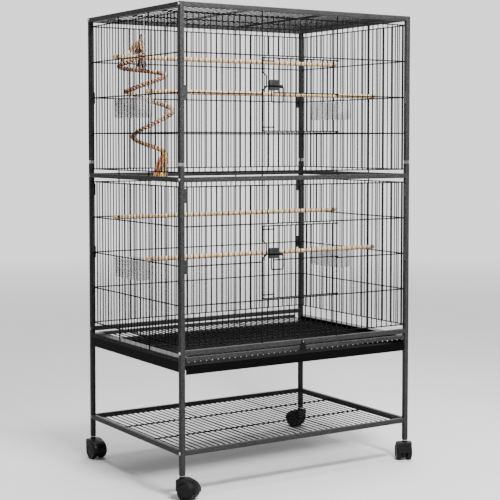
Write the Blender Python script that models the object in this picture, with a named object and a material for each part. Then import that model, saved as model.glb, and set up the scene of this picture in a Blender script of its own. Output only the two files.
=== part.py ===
"""Two-tier bird cage on a stand: square-tube side frames, wire panels, two doors with lift-up latches,
slide-out grate and tray, perches, feeder cups, a rope perch, a storage shelf and four swivel casters.

Metres, +Z up, +X to the right along the front, -Y towards the front, origin on the floor under the centre.
"""

import math

import bmesh
import bpy
from mathutils import Matrix, Vector

# ---- Driving dimensions ----
PITCH = 0.0184                    # centre to centre of the thin vertical wires
FRONT_PITCHES = 42
SIDE_PITCHES = 30
LENGTH = FRONT_PITCHES * PITCH    # between post centres, along X
DEPTH = SIDE_PITCHES * PITCH      # between post centres, along Y
TUBE = 0.0127                     # square tube, outside
WALL = 0.001
SHELF_Z = 0.125                   # heights of the rail centres
BASE_Z = 0.396
TIER = 0.467
MID_Z = BASE_Z + TIER
TOP_Z = MID_Z + TIER
POST_FOOT_Z = 0.065
SPLICE_Z = MID_Z + 0.041          # where an upper post meets a lower post
SPLICE_SHOW = 0.009               # height of the zinc collar between the two tubes
THIN = 0.0022                     # wires
CROSS = 0.0024
HEAVY = 0.0032
ROW = 0.107                       # between the five level wires of a panel
GAP = 0.0003                      # between pieces that touch
HALF_X = LENGTH / 2
HALF_Y = DEPTH / 2
HALF_TUBE = TUBE / 2
WHEEL_RADIUS = 0.025
TRAIL = 0.019                     # from a caster's swivel axis to its axle
DOOR_HINGE_X = LENGTH / 6         # the heavy wire on the right of each door opening
THIRD_BARS = (FRONT_PITCHES // 3, 2 * FRONT_PITCHES // 3)

PANEL_TURN = {"front": 0, "right": 90, "back": 180, "left": 270}


# ---- Scene, collections and materials ----
def clear_scene():
    for obj in list(bpy.data.objects):
        bpy.data.objects.remove(obj)


def make_material(name, color, roughness, metallic=0.0, alpha=1.0):
    material = bpy.data.materials.new(name)
    material.use_nodes = True
    shader = material.node_tree.nodes["Principled BSDF"]
    shader.inputs["Base Color"].default_value = (*color, 1.0)
    shader.inputs["Roughness"].default_value = roughness
    shader.inputs["Metallic"].default_value = metallic
    shader.inputs["Alpha"].default_value = alpha
    return material


clear_scene()
cage = bpy.data.collections.new("bird_cage_on_stand")
bpy.context.scene.collection.children.link(cage)

COAT = make_material("hammered_coat", (0.055, 0.055, 0.057), 0.45, 0.3)
WIRE = make_material("wire_coat", (0.045, 0.045, 0.047), 0.4, 0.2)
TRAY = make_material("tray_black", (0.02, 0.02, 0.02), 0.35)
PLASTIC = make_material("black_plastic", (0.018, 0.018, 0.018), 0.4)
ZINC = make_material("zinc", (0.75, 0.75, 0.74), 0.3, 1.0)
WOOD = make_material("pale_wood", (0.76, 0.58, 0.38), 0.6)
CLEAR = make_material("clear_plastic", (0.85, 0.87, 0.88), 0.15, 0.0, 0.4)
ROPE = make_material("cotton_rope", (0.55, 0.42, 0.3), 0.9)


# ---- Shape helpers ----
def box(low, high):
    """A box between two corners, as a mesh."""
    shape = bmesh.new()
    bmesh.ops.create_cube(shape, size=1.0)
    size = Vector(high) - Vector(low)
    middle = (Vector(high) + Vector(low)) / 2
    bmesh.ops.scale(shape, vec=size, verts=shape.verts)
    bmesh.ops.translate(shape, vec=middle, verts=shape.verts)
    return finished(shape)


def cylinder(start, end, radius, sides=16, end_radius=None):
    """A cylinder or a cone from one point to another, as a mesh."""
    shape = bmesh.new()
    along = Vector(end) - Vector(start)
    bmesh.ops.create_cone(
        shape, cap_ends=True, segments=sides, radius1=radius,
        radius2=radius if end_radius is None else end_radius, depth=along.length,
    )
    turn = along.to_track_quat("Z", "Y").to_matrix().to_4x4()
    middle = Matrix.Translation((Vector(start) + Vector(end)) / 2)
    bmesh.ops.transform(shape, matrix=middle @ turn, verts=shape.verts)
    return finished(shape)


def finished(shape):
    mesh = bpy.data.meshes.new("shape")
    shape.to_mesh(mesh)
    shape.free()
    return mesh


def joined(meshes):
    """Several meshes in one, still separate bodies."""
    shape = bmesh.new()
    for mesh in meshes:
        shape.from_mesh(mesh)
    return finished(shape)


def moved(mesh, matrix):
    copy = mesh.copy()
    copy.transform(matrix)
    return copy


def evaluated_mesh(obj):
    """The mesh of an object with its modifiers or its bevel, closed, in world space; the object goes."""
    bpy.context.view_layer.update()
    graph = bpy.context.evaluated_depsgraph_get()
    mesh = bpy.data.meshes.new_from_object(obj.evaluated_get(graph))
    mesh.transform(obj.matrix_world)
    bpy.data.objects.remove(obj)
    shape = bmesh.new()
    shape.from_mesh(mesh)
    bmesh.ops.remove_doubles(shape, verts=shape.verts, dist=1e-6)
    bmesh.ops.recalc_face_normals(shape, faces=shape.faces)
    return finished(shape)


def plate(loops, thickness):
    """A flat outline with holes in the XY plane, thickened evenly to both sides."""
    curve = bpy.data.curves.new("outline", "CURVE")
    curve.dimensions = "2D"
    curve.fill_mode = "BOTH"
    curve.extrude = thickness / 2
    for points in loops:
        spline = curve.splines.new("POLY")
        spline.points.add(len(points) - 1)
        for point, (x, y) in zip(spline.points, points):
            point.co = (x, y, 0, 1)
        spline.use_cyclic_u = True
    obj = bpy.data.objects.new("outline", curve)
    cage.objects.link(obj)
    return evaluated_mesh(obj)


def tube_along(points, radius, resolution=2):
    """A round wire or rope through the points."""
    curve = bpy.data.curves.new("route", "CURVE")
    curve.dimensions = "3D"
    curve.bevel_depth = radius
    curve.bevel_resolution = resolution
    curve.use_fill_caps = True
    spline = curve.splines.new("POLY")
    spline.points.add(len(points) - 1)
    for point, place in zip(spline.points, points):
        point.co = (*place, 1)
    obj = bpy.data.objects.new("route", curve)
    cage.objects.link(obj)
    return evaluated_mesh(obj)


def turned(profile, sides):
    """A profile of (radius, height) from axis to axis, turned round Z."""
    shape = bmesh.new()
    verts = [shape.verts.new((radius, 0, height)) for radius, height in profile]
    for start, end in zip(verts, verts[1:]):
        shape.edges.new((start, end))
    bmesh.ops.spin(
        shape, geom=shape.verts[:] + shape.edges[:], cent=(0, 0, 0), axis=(0, 0, 1),
        angle=math.radians(360), steps=sides, use_merge=True,
    )
    bmesh.ops.remove_doubles(shape, verts=shape.verts, dist=1e-6)
    bmesh.ops.recalc_face_normals(shape, faces=shape.faces)
    return finished(shape)


def boolean(mesh, other, operation):
    base = bpy.data.objects.new("base", mesh)
    tool = bpy.data.objects.new("tool", other)
    cage.objects.link(base)
    cage.objects.link(tool)
    modifier = base.modifiers.new("boolean", "BOOLEAN")
    modifier.operation = operation
    modifier.solver = "EXACT"
    modifier.use_self = True
    modifier.object = tool
    result = evaluated_mesh(base)
    bpy.data.objects.remove(tool)
    return result


def united(meshes):
    return boolean(meshes[0], joined(meshes[1:]), "UNION")


def rectangle(x0, y0, x1, y1):
    return [(x0, y0), (x1, y0), (x1, y1), (x0, y1)]


def arc(center, radius, start, end, steps):
    """Points on an arc, angles in degrees."""
    points = []
    for step in range(steps + 1):
        angle = math.radians(start + (end - start) * step / steps)
        points.append((center[0] + radius * math.cos(angle), center[1] + radius * math.sin(angle)))
    return points


def smooth_edges(mesh):
    mesh.shade_smooth()
    mesh.set_sharp_from_angle(angle=math.radians(35))
    return mesh


def place(name, mesh, material, location=(0, 0, 0), rotation=(0, 0, 0), parent=None):
    """Puts a mesh in the scene as a named piece. Rotation is in degrees."""
    if not mesh.materials:
        mesh.materials.append(material)
        smooth_edges(mesh)
    obj = bpy.data.objects.new(name, mesh)
    obj.location = location
    obj.rotation_euler = [math.radians(angle) for angle in rotation]
    obj.parent = parent
    cage.objects.link(obj)
    return obj


def pivot(name, location, angle=0.0, parent=None):
    """An empty on a joint's axis, turned about Z."""
    empty = bpy.data.objects.new(name, None)
    empty.location = location
    empty.rotation_euler = (0, 0, math.radians(angle))
    empty.parent = parent
    cage.objects.link(empty)
    return empty


# ---- Side frames: two posts and their side rails, welded from square tube ----
HOOK_PLATE = (0.0095, 0.038, 0.002)         # how far it stands inward, height, thickness
UPPER_HOOKS = (MID_Z + TIER / 2,)
LOWER_HOOKS = (MID_Z - 0.043, BASE_Z + TIER / 2)


def frame_outline(low, high, rails, half, inset):
    """Loops of a side frame in the YZ plane, drawn as (y, z). With inset, the hollow inside the tubes."""
    thick = HALF_TUBE - inset
    top = high if rails[-1] < high - TUBE else high - inset
    if rails[-1] >= high - TUBE:
        outer = [(-half - thick, low), (-half + thick, low)]
        lower = rails[0] if len(rails) > 1 else rails[-1]
        outer += [(-half + thick, lower - thick), (half - thick, lower - thick)]
        outer += [(half - thick, low), (half + thick, low), (half + thick, top), (-half - thick, top)]
        return [outer]
    outer = [(-half - thick, low), (-half + thick, low), (-half + thick, rails[0] - thick)]
    outer += [(half - thick, rails[0] - thick), (half - thick, low), (half + thick, low)]
    outer += [(half + thick, top), (half - thick, top), (half - thick, rails[-1] + thick)]
    outer += [(-half + thick, rails[-1] + thick), (-half + thick, top), (-half - thick, top)]
    loops = [outer]
    for below, above in zip(rails, rails[1:]):
        loops.append(rectangle(-half + thick, below + thick, half - thick, above - thick))
    return loops


def hook_plate_outline(width, height):
    chamfer = 0.003
    return [
        (-0.0005, -height / 2), (width - chamfer, -height / 2), (width, -height / 2 + chamfer),
        (width, height / 2 - chamfer), (width - chamfer, height / 2), (-0.0005, height / 2),
    ]


def side_frame(low, high, rails, hook_heights):
    """The left frame: tubes hollow and open at the ends of the posts, hook plates facing +X."""
    outside = plate(frame_outline(low, high, rails, HALF_Y, 0.0), TUBE)
    open_ends = 0.01
    closed_top = rails[-1] >= high - TUBE
    hollow_high = high if closed_top else high + open_ends
    hollow = plate(frame_outline(low - open_ends, hollow_high, rails, HALF_Y, WALL), TUBE - 2 * WALL)
    # The outlines are drawn as (y, z); this turns local x to Y, local y to Z and the thickness to X.
    stand_up = Matrix(((0, 0, 1, 0), (1, 0, 0, 0), (0, 1, 0, 0), (0, 0, 0, 1)))
    outside.transform(stand_up)
    hollow.transform(stand_up)
    width, height, thickness = HOOK_PLATE
    flat = plate([hook_plate_outline(width, height)], thickness)
    upright = Matrix.Rotation(math.radians(90), 4, "X")
    hooks = []
    for z in hook_heights:
        for side in (-1, 1):
            y = side * (HALF_Y + HALF_TUBE - thickness / 2)
            hooks.append(moved(flat, Matrix.Translation((HALF_TUBE, y, z)) @ upright))
    return boolean(united([outside, *hooks]), hollow, "DIFFERENCE")


def build_side_frames():
    upper = side_frame(SPLICE_Z + SPLICE_SHOW / 2, TOP_Z + HALF_TUBE, [TOP_Z], UPPER_HOOKS)
    lower = side_frame(POST_FOOT_Z, SPLICE_Z - SPLICE_SHOW / 2, [SHELF_Z, MID_Z], LOWER_HOOKS)
    for side, x, turn in (("left", -HALF_X, 0), ("right", HALF_X, 180)):
        place(f"upper_frame_{side}", upper, COAT, (x, 0, 0), (0, 0, turn))
        place(f"lower_frame_{side}", lower, COAT, (x, 0, 0), (0, 0, turn))


def build_splices():
    """Zinc plugs: a collar between the tubes and a tongue in each of them."""
    collar = HALF_TUBE - 0.0006
    tongue = HALF_TUBE - WALL - GAP
    show = SPLICE_SHOW / 2 - GAP
    reach = 0.030
    plug = united([
        box((-collar, -collar, -show), (collar, collar, show)),
        box((-tongue, -tongue, -reach), (tongue, tongue, reach)),
    ])
    for front, y in (("front", -HALF_Y), ("back", HALF_Y)):
        for side, x in (("left", -HALF_X), ("right", HALF_X)):
            place(f"splice_{front}_{side}", plug, ZINC, (x, y, SPLICE_Z))


def build_cross_rails():
    """Front and back rails, bolted between the side frames."""
    inner = HALF_TUBE - WALL
    ring = [
        rectangle(-HALF_TUBE, -HALF_TUBE, HALF_TUBE, HALF_TUBE),
        rectangle(-inner, -inner, inner, inner),
    ]
    rail = plate(ring, LENGTH - TUBE - 2 * GAP)
    rail.transform(Matrix.Rotation(math.radians(90), 4, "Y"))
    levels = (("top", TOP_Z), ("mid", MID_Z), ("base", BASE_Z), ("shelf", SHELF_Z))
    for level, z in levels:
        for front, y in (("front", -HALF_Y), ("back", HALF_Y)):
            place(f"{level}_rail_{front}", rail, COAT, (0, y, z))


# ---- Wire panels ----
def bar_edges(index, count):
    """Left and right edge of a panel's vertical wire, counted from the left post."""
    center = (index - count / 2) * PITCH
    heavy = index in (count // 3, 2 * count // 3)
    half = (HEAVY if heavy else THIN) / 2
    return center - half, center + half


def comb_loops(count, door_opening):
    """Outline and slots of a panel between its top and bottom wires."""
    top = 2 * ROW
    half = CROSS / 2
    loops = [rectangle(bar_edges(1, count)[0], -top - half, bar_edges(count - 1, count)[1], top + half)]
    for index in range(1, count - 1):
        x0 = bar_edges(index, count)[1]
        x1 = bar_edges(index + 1, count)[0]
        if door_opening and THIRD_BARS[0] <= index < THIRD_BARS[1]:
            loops.append(rectangle(x0, -top + half, x1, -ROW - half))
            loops.append(rectangle(x0, ROW + half, x1, top - half))
        else:
            loops.append(rectangle(x0, -top + half, x1, top - half))
    if door_opening:
        left = bar_edges(THIRD_BARS[0], count)[1]
        right = bar_edges(THIRD_BARS[1], count)[0]
        loops.append(rectangle(left, -ROW + half, right, ROW - half))
    return loops


def wire_panel(count, door_opening=False, foot=None):
    """A panel in its own plane: x along it, y up, +z outward. Level wires lie on the inner side.

    Only the heavy wires carry the middle level wires; the thin ones clear them by a gap."""
    comb = plate(comb_loops(count, door_opening), THIN)
    width = count * PITCH
    reach = width / 2 - HALF_TUBE - GAP
    inner = -(THIN / 2 + GAP)
    half = CROSS / 2
    foot = -(TIER / 2 - HALF_TUBE - GAP) if foot is None else foot
    heavy = [sum(bar_edges(index, count)) / 2 for index in (count // 3, 2 * count // 3)]
    shapes = []
    for x in heavy:
        head = TIER / 2 - HALF_TUBE - GAP
        shapes.append(box((x - HEAVY / 2, foot, -HEAVY / 2), (x + HEAVY / 2, head, HEAVY / 2)))
    for y in (-ROW, 0, ROW):
        if door_opening:
            # The overlap with a heavy wire stops short of its far edge, clear of the opening.
            shapes.append(box((-reach, y - half, inner - CROSS), (heavy[0] + 0.001, y + half, inner)))
            shapes.append(box((heavy[1] - 0.001, y - half, inner - CROSS), (reach, y + half, inner)))
        else:
            shapes.append(box((-reach, y - half, inner - CROSS), (reach, y + half, inner)))
    stub = bar_edges(1, count)[1] - 0.0005
    for y in (-2 * ROW, 2 * ROW):
        for low, high in ((-reach, stub), (-stub, reach)):
            shapes.append(box((low, y - half * 0.9, -half * 0.8), (high, y + half * 0.9, half * 0.8)))
    return united([comb, *shapes])


def build_panels():
    front = wire_panel(FRONT_PITCHES, door_opening=True)
    back = wire_panel(FRONT_PITCHES)
    side = wire_panel(SIDE_PITCHES)
    low_side = wire_panel(SIDE_PITCHES, foot=RUNNER_TOP_Z + GAP - BASE_Z - TIER / 2)
    meshes = {
        "upper": {"front": front, "back": back, "left": side, "right": side},
        "lower": {"front": front, "back": back, "left": low_side, "right": low_side},
    }
    places = {"front": (0, -HALF_Y), "back": (0, HALF_Y), "left": (-HALF_X, 0), "right": (HALF_X, 0)}
    for tier, z in TIERS.items():
        for side_name, mesh in meshes[tier].items():
            x, y = places[side_name]
            place(f"{tier}_panel_{side_name}", mesh, WIRE, (x, y, z), (90, 0, PANEL_TURN[side_name]))


TIERS = {"upper": MID_Z + TIER / 2, "lower": BASE_Z + TIER / 2}


# ---- Level grilles: the roof and the shelf ----
def level_grille():
    """Wires along Y with a heavy wire at each third both ways, between the four rails."""
    reach_x = HALF_X - HALF_TUBE - GAP
    reach_y = HALF_Y - HALF_TUBE - GAP
    half = CROSS / 2
    x_low = bar_edges(1, FRONT_PITCHES)[0]
    loops = [rectangle(x_low, -reach_y, -x_low, reach_y)]
    for index in range(1, FRONT_PITCHES - 1):
        x0 = bar_edges(index, FRONT_PITCHES)[1]
        x1 = bar_edges(index + 1, FRONT_PITCHES)[0]
        loops.append(rectangle(x0, -reach_y + CROSS, x1, reach_y - CROSS))
    shapes = []
    for y in (-DEPTH / 6, DEPTH / 6):
        top = -THIN / 2 - GAP
        shapes.append(box((-reach_x, y - half, top - CROSS), (reach_x, y + half, top)))
    for index in THIRD_BARS:
        x = (index - FRONT_PITCHES / 2) * PITCH
        shapes.append(box((x - HEAVY / 2, -reach_y, -HEAVY / 2), (x + HEAVY / 2, reach_y, HEAVY / 2)))
    return united([plate(loops, THIN), *shapes])


def build_grilles():
    grille = level_grille()
    place("top_grille", grille, WIRE, (0, 0, TOP_Z + 0.003))
    place("shelf_grille", grille, WIRE, (0, 0, SHELF_Z + 0.003))


# ---- Doors and their latches ----
# Heights in a panel's own plane, 0 at its middle level wire.
DOOR_TOP = ROW - 0.0065
DOOR_BOTTOM = -ROW + 0.0045
DOOR_MIDDLE = 0.0045
DOOR_PLANE = HEAVY / 2 + GAP + THIN / 2      # in front of the heavy wires
LOOP_INNER = 0.0027
LOOP_WIRE = 0.0022
JOG = 0.0125                                  # how far the door's left wire steps in at the latch
JOG_TOP = 0.060
JOG_LOW = 0.0205
LATCH_LOW = 0.0105
LATCH_HIGH = 0.0395
LATCH_LEFT = 0.0150
LATCH_RIGHT = 0.0490
LATCH_BACK = DOOR_PLANE + THIN / 2 + GAP
LATCH_DEPTH = 0.011
LEVER_Z = 0.0215                              # the ring's upper wire, at rest
LEVER_LIFT = 0.010
RING_LEFT = 0.0240
RING_RIGHT = 0.0635
RING_LOW = -0.0215
DOOR_PITCHES = FRONT_PITCHES // 3


def door_comb_loops():
    """Door field, x from its hinge axis (negative towards the latch)."""
    half = THIN / 2
    left = -DOOR_PITCHES * PITCH
    slope = 0.010
    line = [
        (left, DOOR_BOTTOM), (left, JOG_LOW - slope), (left + JOG, JOG_LOW),
        (left + JOG, JOG_TOP - slope), (left, JOG_TOP), (left, DOOR_TOP),
    ]
    right = -PITCH + half
    corner = 0.006
    outline = [(left + corner, DOOR_BOTTOM - half), (right, DOOR_BOTTOM - half), (right, DOOR_TOP + half)]
    outline.append((left - half, DOOR_TOP + half))
    outline += [(x - half, y) for x, y in reversed(line[1:-1])]
    outline.append((left - half, DOOR_BOTTOM + corner))
    outline += arc((left + corner, DOOR_BOTTOM + corner), corner + half, 180, 270, 4)[1:-1]
    loops = [outline]
    first = left + PITCH - half
    slot = [(first, DOOR_BOTTOM + half), (first, DOOR_TOP - half), (left + half, DOOR_TOP - half)]
    slot += [(x + half, y) for x, y in reversed(line[1:-1])]
    slot.append((left + half, DOOR_BOTTOM + half))
    loops.append(slot)
    for index in range(1, DOOR_PITCHES - 1):
        x0 = left + index * PITCH + half
        loops.append(rectangle(x0, DOOR_BOTTOM + half, x0 + PITCH - THIN, DOOR_TOP - half))
    return loops


def hinge_loop(y):
    """A closed loop round the heavy wire, and a tail from its wall to the door's level wire."""
    outer = LOOP_INNER + LOOP_WIRE
    ring = plate([arc((0, 0), outer, 0, 337.5, 15), arc((0, 0), LOOP_INNER, 0, 337.5, 15)], LOOP_WIRE)
    ring.transform(Matrix.Translation((0, y, 0)) @ Matrix.Rotation(math.radians(-90), 4, "X"))
    half = LOOP_WIRE / 2
    tail = box((-PITCH - 0.0005, y - half * 0.9, DOOR_PLANE - half * 0.9),
               (-0.0025, y + half * 0.9, DOOR_PLANE + half * 0.9))
    return [ring, tail]


def door_mesh():
    half = THIN / 2
    left = -DOOR_PITCHES * PITCH
    shapes = []
    for y in (DOOR_TOP, DOOR_MIDDLE, DOOR_BOTTOM):
        shapes += hinge_loop(y)
    # The middle wire is welded behind the uprights from the latch to the hinge.
    back = DOOR_PLANE - THIN / 2
    start = left + PITCH * 2 - half
    shapes.append(box((start, DOOR_MIDDLE - half, back - THIN * 0.6),
                      (-PITCH + half, DOOR_MIDDLE + half, back + 0.0003)))
    comb = moved(plate(door_comb_loops(), THIN), Matrix.Translation((0, 0, DOOR_PLANE)))
    return united([comb, *shapes])


def latch_block_mesh():
    """Block on the door with a level slot for the ring's upper wire and an upright slot for its left leg."""
    left = -DOOR_PITCHES * PITCH
    back = LATCH_BACK
    middle = back + LATCH_DEPTH / 2
    chamfer = 0.004
    outline = rectangle(left + LATCH_LEFT, LATCH_LOW, left + LATCH_RIGHT, LATCH_HIGH)
    (x0, y0), (x1, _), (_, y1), _ = outline
    rounded = [
        (x0, y0), (x1 - chamfer, y0), (x1, y0 + chamfer), (x1, y1 - chamfer),
        (x1 - chamfer, y1), (x0 + chamfer, y1), (x0, y1 - chamfer),
    ]
    block = moved(plate([rounded], LATCH_DEPTH), Matrix.Translation((0, 0, middle)))
    room = CROSS / 2 + 0.0006
    slot_top = LEVER_Z + LEVER_LIFT + room
    level = box((x0 - 0.005, LEVER_Z - room, middle - room), (x1 + 0.005, slot_top, middle + room))
    leg_x = left + RING_LEFT
    upright = box((leg_x - room, y0 - 0.005, middle - room), (leg_x + room, LEVER_Z, middle + room))
    return boolean(block, joined([level, upright]), "DIFFERENCE")


def rounded_route(corners, radius):
    """A route through the corners with each inner corner cut by an arc of three points."""
    route = [corners[0]]
    for before, corner, after in zip(corners, corners[1:], corners[2:]):
        back = (Vector(before) - Vector(corner)).normalized()
        on = (Vector(after) - Vector(corner)).normalized()
        reach = radius / math.tan(back.angle(on) / 2)
        start = Vector(corner) + back * reach
        end = Vector(corner) + on * reach
        middle = (start + end) / 2 * 0.55 + Vector(corner) * 0.45
        route += [start, middle, end]
    route.append(corners[-1])
    return [tuple(point) for point in route]


def latch_lever_mesh():
    """One wire: hook, upper wire through the block, and the finger ring below it, with a stop collar."""
    left = -DOOR_PITCHES * PITCH
    z = LATCH_BACK + LATCH_DEPTH / 2
    radius = CROSS / 2
    hook = rounded_route(
        [
            (left + 0.0005, 0.0045, z), (left + 0.0005, LEVER_Z, z), (left + RING_RIGHT, LEVER_Z, z),
            (left + RING_RIGHT, RING_LOW, z), (left + RING_LEFT, RING_LOW, z),
            (left + RING_LEFT, LEVER_Z - 0.0002, z),
        ],
        0.005,
    )
    wire = tube_along(hook, radius, 2)
    x = left + LATCH_RIGHT + 0.0012
    collar = cylinder((x, LEVER_Z, z), (x + 0.006, LEVER_Z, z), 0.0038, 12)
    return united([wire, collar])


def build_doors():
    door = door_mesh()
    block = latch_block_mesh()
    lever = latch_lever_mesh()
    for tier, z in TIERS.items():
        hinge = pivot(f"{tier}_door_hinge", (DOOR_HINGE_X, -HALF_Y, z))
        place(f"{tier}_door", door, WIRE, rotation=(90, 0, 0), parent=hinge)
        place(f"{tier}_latch_block", block, PLASTIC, rotation=(90, 0, 0), parent=hinge)
        place(f"{tier}_latch_ring", lever, WIRE, rotation=(90, 0, 0), parent=hinge)


# ---- Floor: runners, grate and tray ----
RUNNER_TOP_Z = 0.3840
RUNNER_FOOT_Z = 0.3450
RUNNER_SHEET = 0.0012
RUNNER_FLANGE = 0.030
LEDGE = 0.0195                   # width of the ledges under the grate and under the tray
GRATE_LEDGE_Z = 0.3706           # upper faces of the two ledges
TRAY_LEDGE_Z = 0.3605
SLIDE_HALF = HALF_X - HALF_TUBE - 0.0033    # half width of what slides out between the posts
GRATE_BAR = 0.011
FRONT_FACE_Y = -HALF_Y - HALF_TUBE
TRAY_FOOT_Z = 0.338
TRAY_SHEET = 0.0014
TRAY_RIM = 0.030
TRAY_WELL_Z = 0.340


def build_runners():
    """Bent sheet under each side panel: skirt, top flange, and a ledge each for the grate and the tray."""
    outer = -HALF_X - HALF_TUBE
    web = outer + RUNNER_SHEET
    flange = outer + RUNNER_FLANGE
    ledge = outer + LEDGE
    outline = [
        (outer, RUNNER_FOOT_Z), (web, RUNNER_FOOT_Z),
        (web, TRAY_LEDGE_Z - RUNNER_SHEET), (ledge, TRAY_LEDGE_Z - RUNNER_SHEET), (ledge, TRAY_LEDGE_Z),
        (web, TRAY_LEDGE_Z),
        (web, GRATE_LEDGE_Z - RUNNER_SHEET), (ledge, GRATE_LEDGE_Z - RUNNER_SHEET), (ledge, GRATE_LEDGE_Z),
        (web, GRATE_LEDGE_Z),
        (web, RUNNER_TOP_Z - RUNNER_SHEET), (flange, RUNNER_TOP_Z - RUNNER_SHEET),
        (flange, RUNNER_TOP_Z), (outer, RUNNER_TOP_Z),
    ]
    # Drawn as (x, z): a quarter turn about X stands it up, and the thickness then lies along Y.
    runner = plate([outline], DEPTH - TUBE - 2 * GAP)
    runner.transform(Matrix.Rotation(math.radians(90), 4, "X"))
    place("tray_runner_left", runner, COAT)
    place("tray_runner_right", runner, COAT, rotation=(0, 0, 180))


def build_grate():
    """Wires along Y between a front and a back bar, with a catch tab on the front bar."""
    back_y = HALF_Y + HALF_TUBE - GRATE_BAR
    count = FRONT_PITCHES
    half = THIN / 2
    wire_z = GRATE_LEDGE_Z + GAP + half
    x_low = bar_edges(1, count)[0]
    loops = [rectangle(x_low, FRONT_FACE_Y + 0.004, -x_low, back_y + 0.004)]
    for index in range(1, count - 1):
        x0 = bar_edges(index, count)[1]
        x1 = bar_edges(index + 1, count)[0]
        loops.append(rectangle(x0, FRONT_FACE_Y + GRATE_BAR - 0.001, x1, back_y + 0.001))
    field = moved(plate(loops, THIN), Matrix.Translation((0, 0, wire_z)))
    shapes = []
    bar_low = wire_z - half + 0.0002
    bar_half = SLIDE_HALF - 0.012
    for y in (FRONT_FACE_Y, back_y):
        shapes.append(box((-bar_half, y, bar_low), (bar_half, y + GRATE_BAR, bar_low + GRATE_BAR)))
    cross_low = wire_z + half + GAP
    for step in (-1, 0, 1):
        y = step * DEPTH / 4
        shapes.append(box((-SLIDE_HALF, y - half, cross_low), (SLIDE_HALF, y + half, cross_low + THIN)))
    for index in (1, *THIRD_BARS, count - 1):
        x0, x1 = bar_edges(index, count)
        low = wire_z - half + 0.0001
        shapes.append(box((x0 - 0.0002, FRONT_FACE_Y + 0.006, low),
                          (x1 + 0.0002, back_y + 0.005, cross_low + 0.001)))
    # Catch tab: a rounded triangle with a hole near its top, in front of the bar and the rail above it.
    pin_z = BASE_Z + 0.0005
    bottom = bar_low
    tab = [(-0.0125, bottom), (0.0125, bottom), (0.0125, bottom + 0.002)]
    tab += arc((0, pin_z), 0.0055, 20, 160, 6)
    tab.append((-0.0125, bottom + 0.002))
    hole = arc((0, pin_z), CATCH_HOLE, 0, 337.5, 15)
    sheet = 0.0012
    tab_mesh = plate([tab, hole], sheet)
    tab_mesh.transform(Matrix.Rotation(math.radians(90), 4, "X"))
    tab_y = FRONT_FACE_Y - GAP - sheet / 2
    shapes.append(moved(tab_mesh, Matrix.Translation((CATCH_X, tab_y, 0))))
    # A weld pad ties the tab to the bar across the gap that clears the rail.
    shapes.append(box((CATCH_X - 0.009, FRONT_FACE_Y - GAP - sheet / 2, bottom + 0.001),
                      (CATCH_X + 0.009, FRONT_FACE_Y + 0.001, bottom + 0.008)))
    place("floor_grate", united([field, *shapes]), WIRE)
    pin = united([
        cylinder((0, 0, 0), (0, -0.0030, 0), CATCH_HOLE - 0.0005, 12),
        cylinder((0, -0.0028, 0), (0, -0.0042, 0), CATCH_HOLE - 0.0005, 12, CATCH_HOLE - 0.0012),
    ])
    place("catch_pin", pin, ZINC, (CATCH_X, FRONT_FACE_Y - GAP, pin_z))


CATCH_X = 0.005
CATCH_HOLE = 0.0026


def build_tray():
    """Drawn sheet tray: wide rim on the runners, a well, and a lip down the front."""
    front = FRONT_FACE_Y
    back = HALF_Y - HALF_TUBE - 0.004
    rim_z = TRAY_LEDGE_Z + GAP
    sheet = TRAY_SHEET
    well_front = front + TRAY_RIM
    well_back = back - TRAY_RIM
    well_side = SLIDE_HALF - TRAY_RIM
    slab = box((-well_side, well_front, TRAY_WELL_Z), (well_side, well_back, rim_z + sheet / 2))
    rim = box((-SLIDE_HALF, front + 0.0002, rim_z), (SLIDE_HALF, back, rim_z + sheet))
    lip = box((-SLIDE_HALF, front, TRAY_FOOT_Z), (SLIDE_HALF, front + sheet, rim_z + sheet))
    well = box((-well_side + sheet, well_front + sheet, TRAY_WELL_Z + sheet),
               (well_side - sheet, well_back - sheet, rim_z + 0.01))
    tray = boolean(united([slab, rim, lip]), well, "DIFFERENCE")
    place("tray", tray, TRAY)


# ---- Furniture ----
PERCH_RADIUS = 0.00635
PERCH_OUT = 0.014                # how far an end stands out past the side panel
PERCH_Y = DEPTH / 6 + PITCH / 2
LEVEL_WIRE_TOP = CROSS / 2 + GAP


def build_perches():
    """Dowels through the side panels, resting on a level wire at each end."""
    reach = HALF_X + PERCH_OUT
    dowel = cylinder((-reach, 0, 0), (reach, 0, 0), PERCH_RADIUS, 16)
    for tier, middle in TIERS.items():
        for front, y, level in (("back", PERCH_Y, ROW), ("front", -PERCH_Y, 0.0)):
            z = middle + level + LEVEL_WIRE_TOP + PERCH_RADIUS
            place(f"{tier}_perch_{front}", dowel, WOOD, (0, y, z))


FEEDER_SIZE = (0.058, 0.150, 0.058)      # out from the panel, along it, tall
FEEDER_WALL = 0.002
FEEDER_Y = 3.5 * PITCH
FEEDER_HOOK = 0.006
FEEDER_BELOW = 0.004                      # the cup's edge below the wire it hangs on


def feeder_mesh():
    """An open cup whose back lies at x = 0, with two hooks over the level wire behind it."""
    deep, wide, tall = FEEDER_SIZE
    wall = FEEDER_WALL
    cup = boolean(
        box((0, -wide / 2, -tall), (deep, wide / 2, 0)),
        box((wall, -wide / 2 + wall, -tall + wall), (deep - wall, wide / 2 - wall, 0.01)),
        "DIFFERENCE",
    )
    behind = -(CROSS + 2 * GAP)
    over = FEEDER_BELOW + CROSS + 2 * GAP
    half = FEEDER_HOOK / 2
    hooks = []
    for y in (-3 * PITCH, 3 * PITCH):
        hooks.append(box((0, y - half, -0.01), (0.0016, y + half, over + 0.0016)))
        hooks.append(box((behind - 0.0016, y - half, over), (0.0014, y + half, over + 0.0014)))
        hooks.append(box((behind - 0.0016, y - half, over - 0.005), (behind, y + half, over + 0.0012)))
    return united([cup, *hooks])


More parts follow.
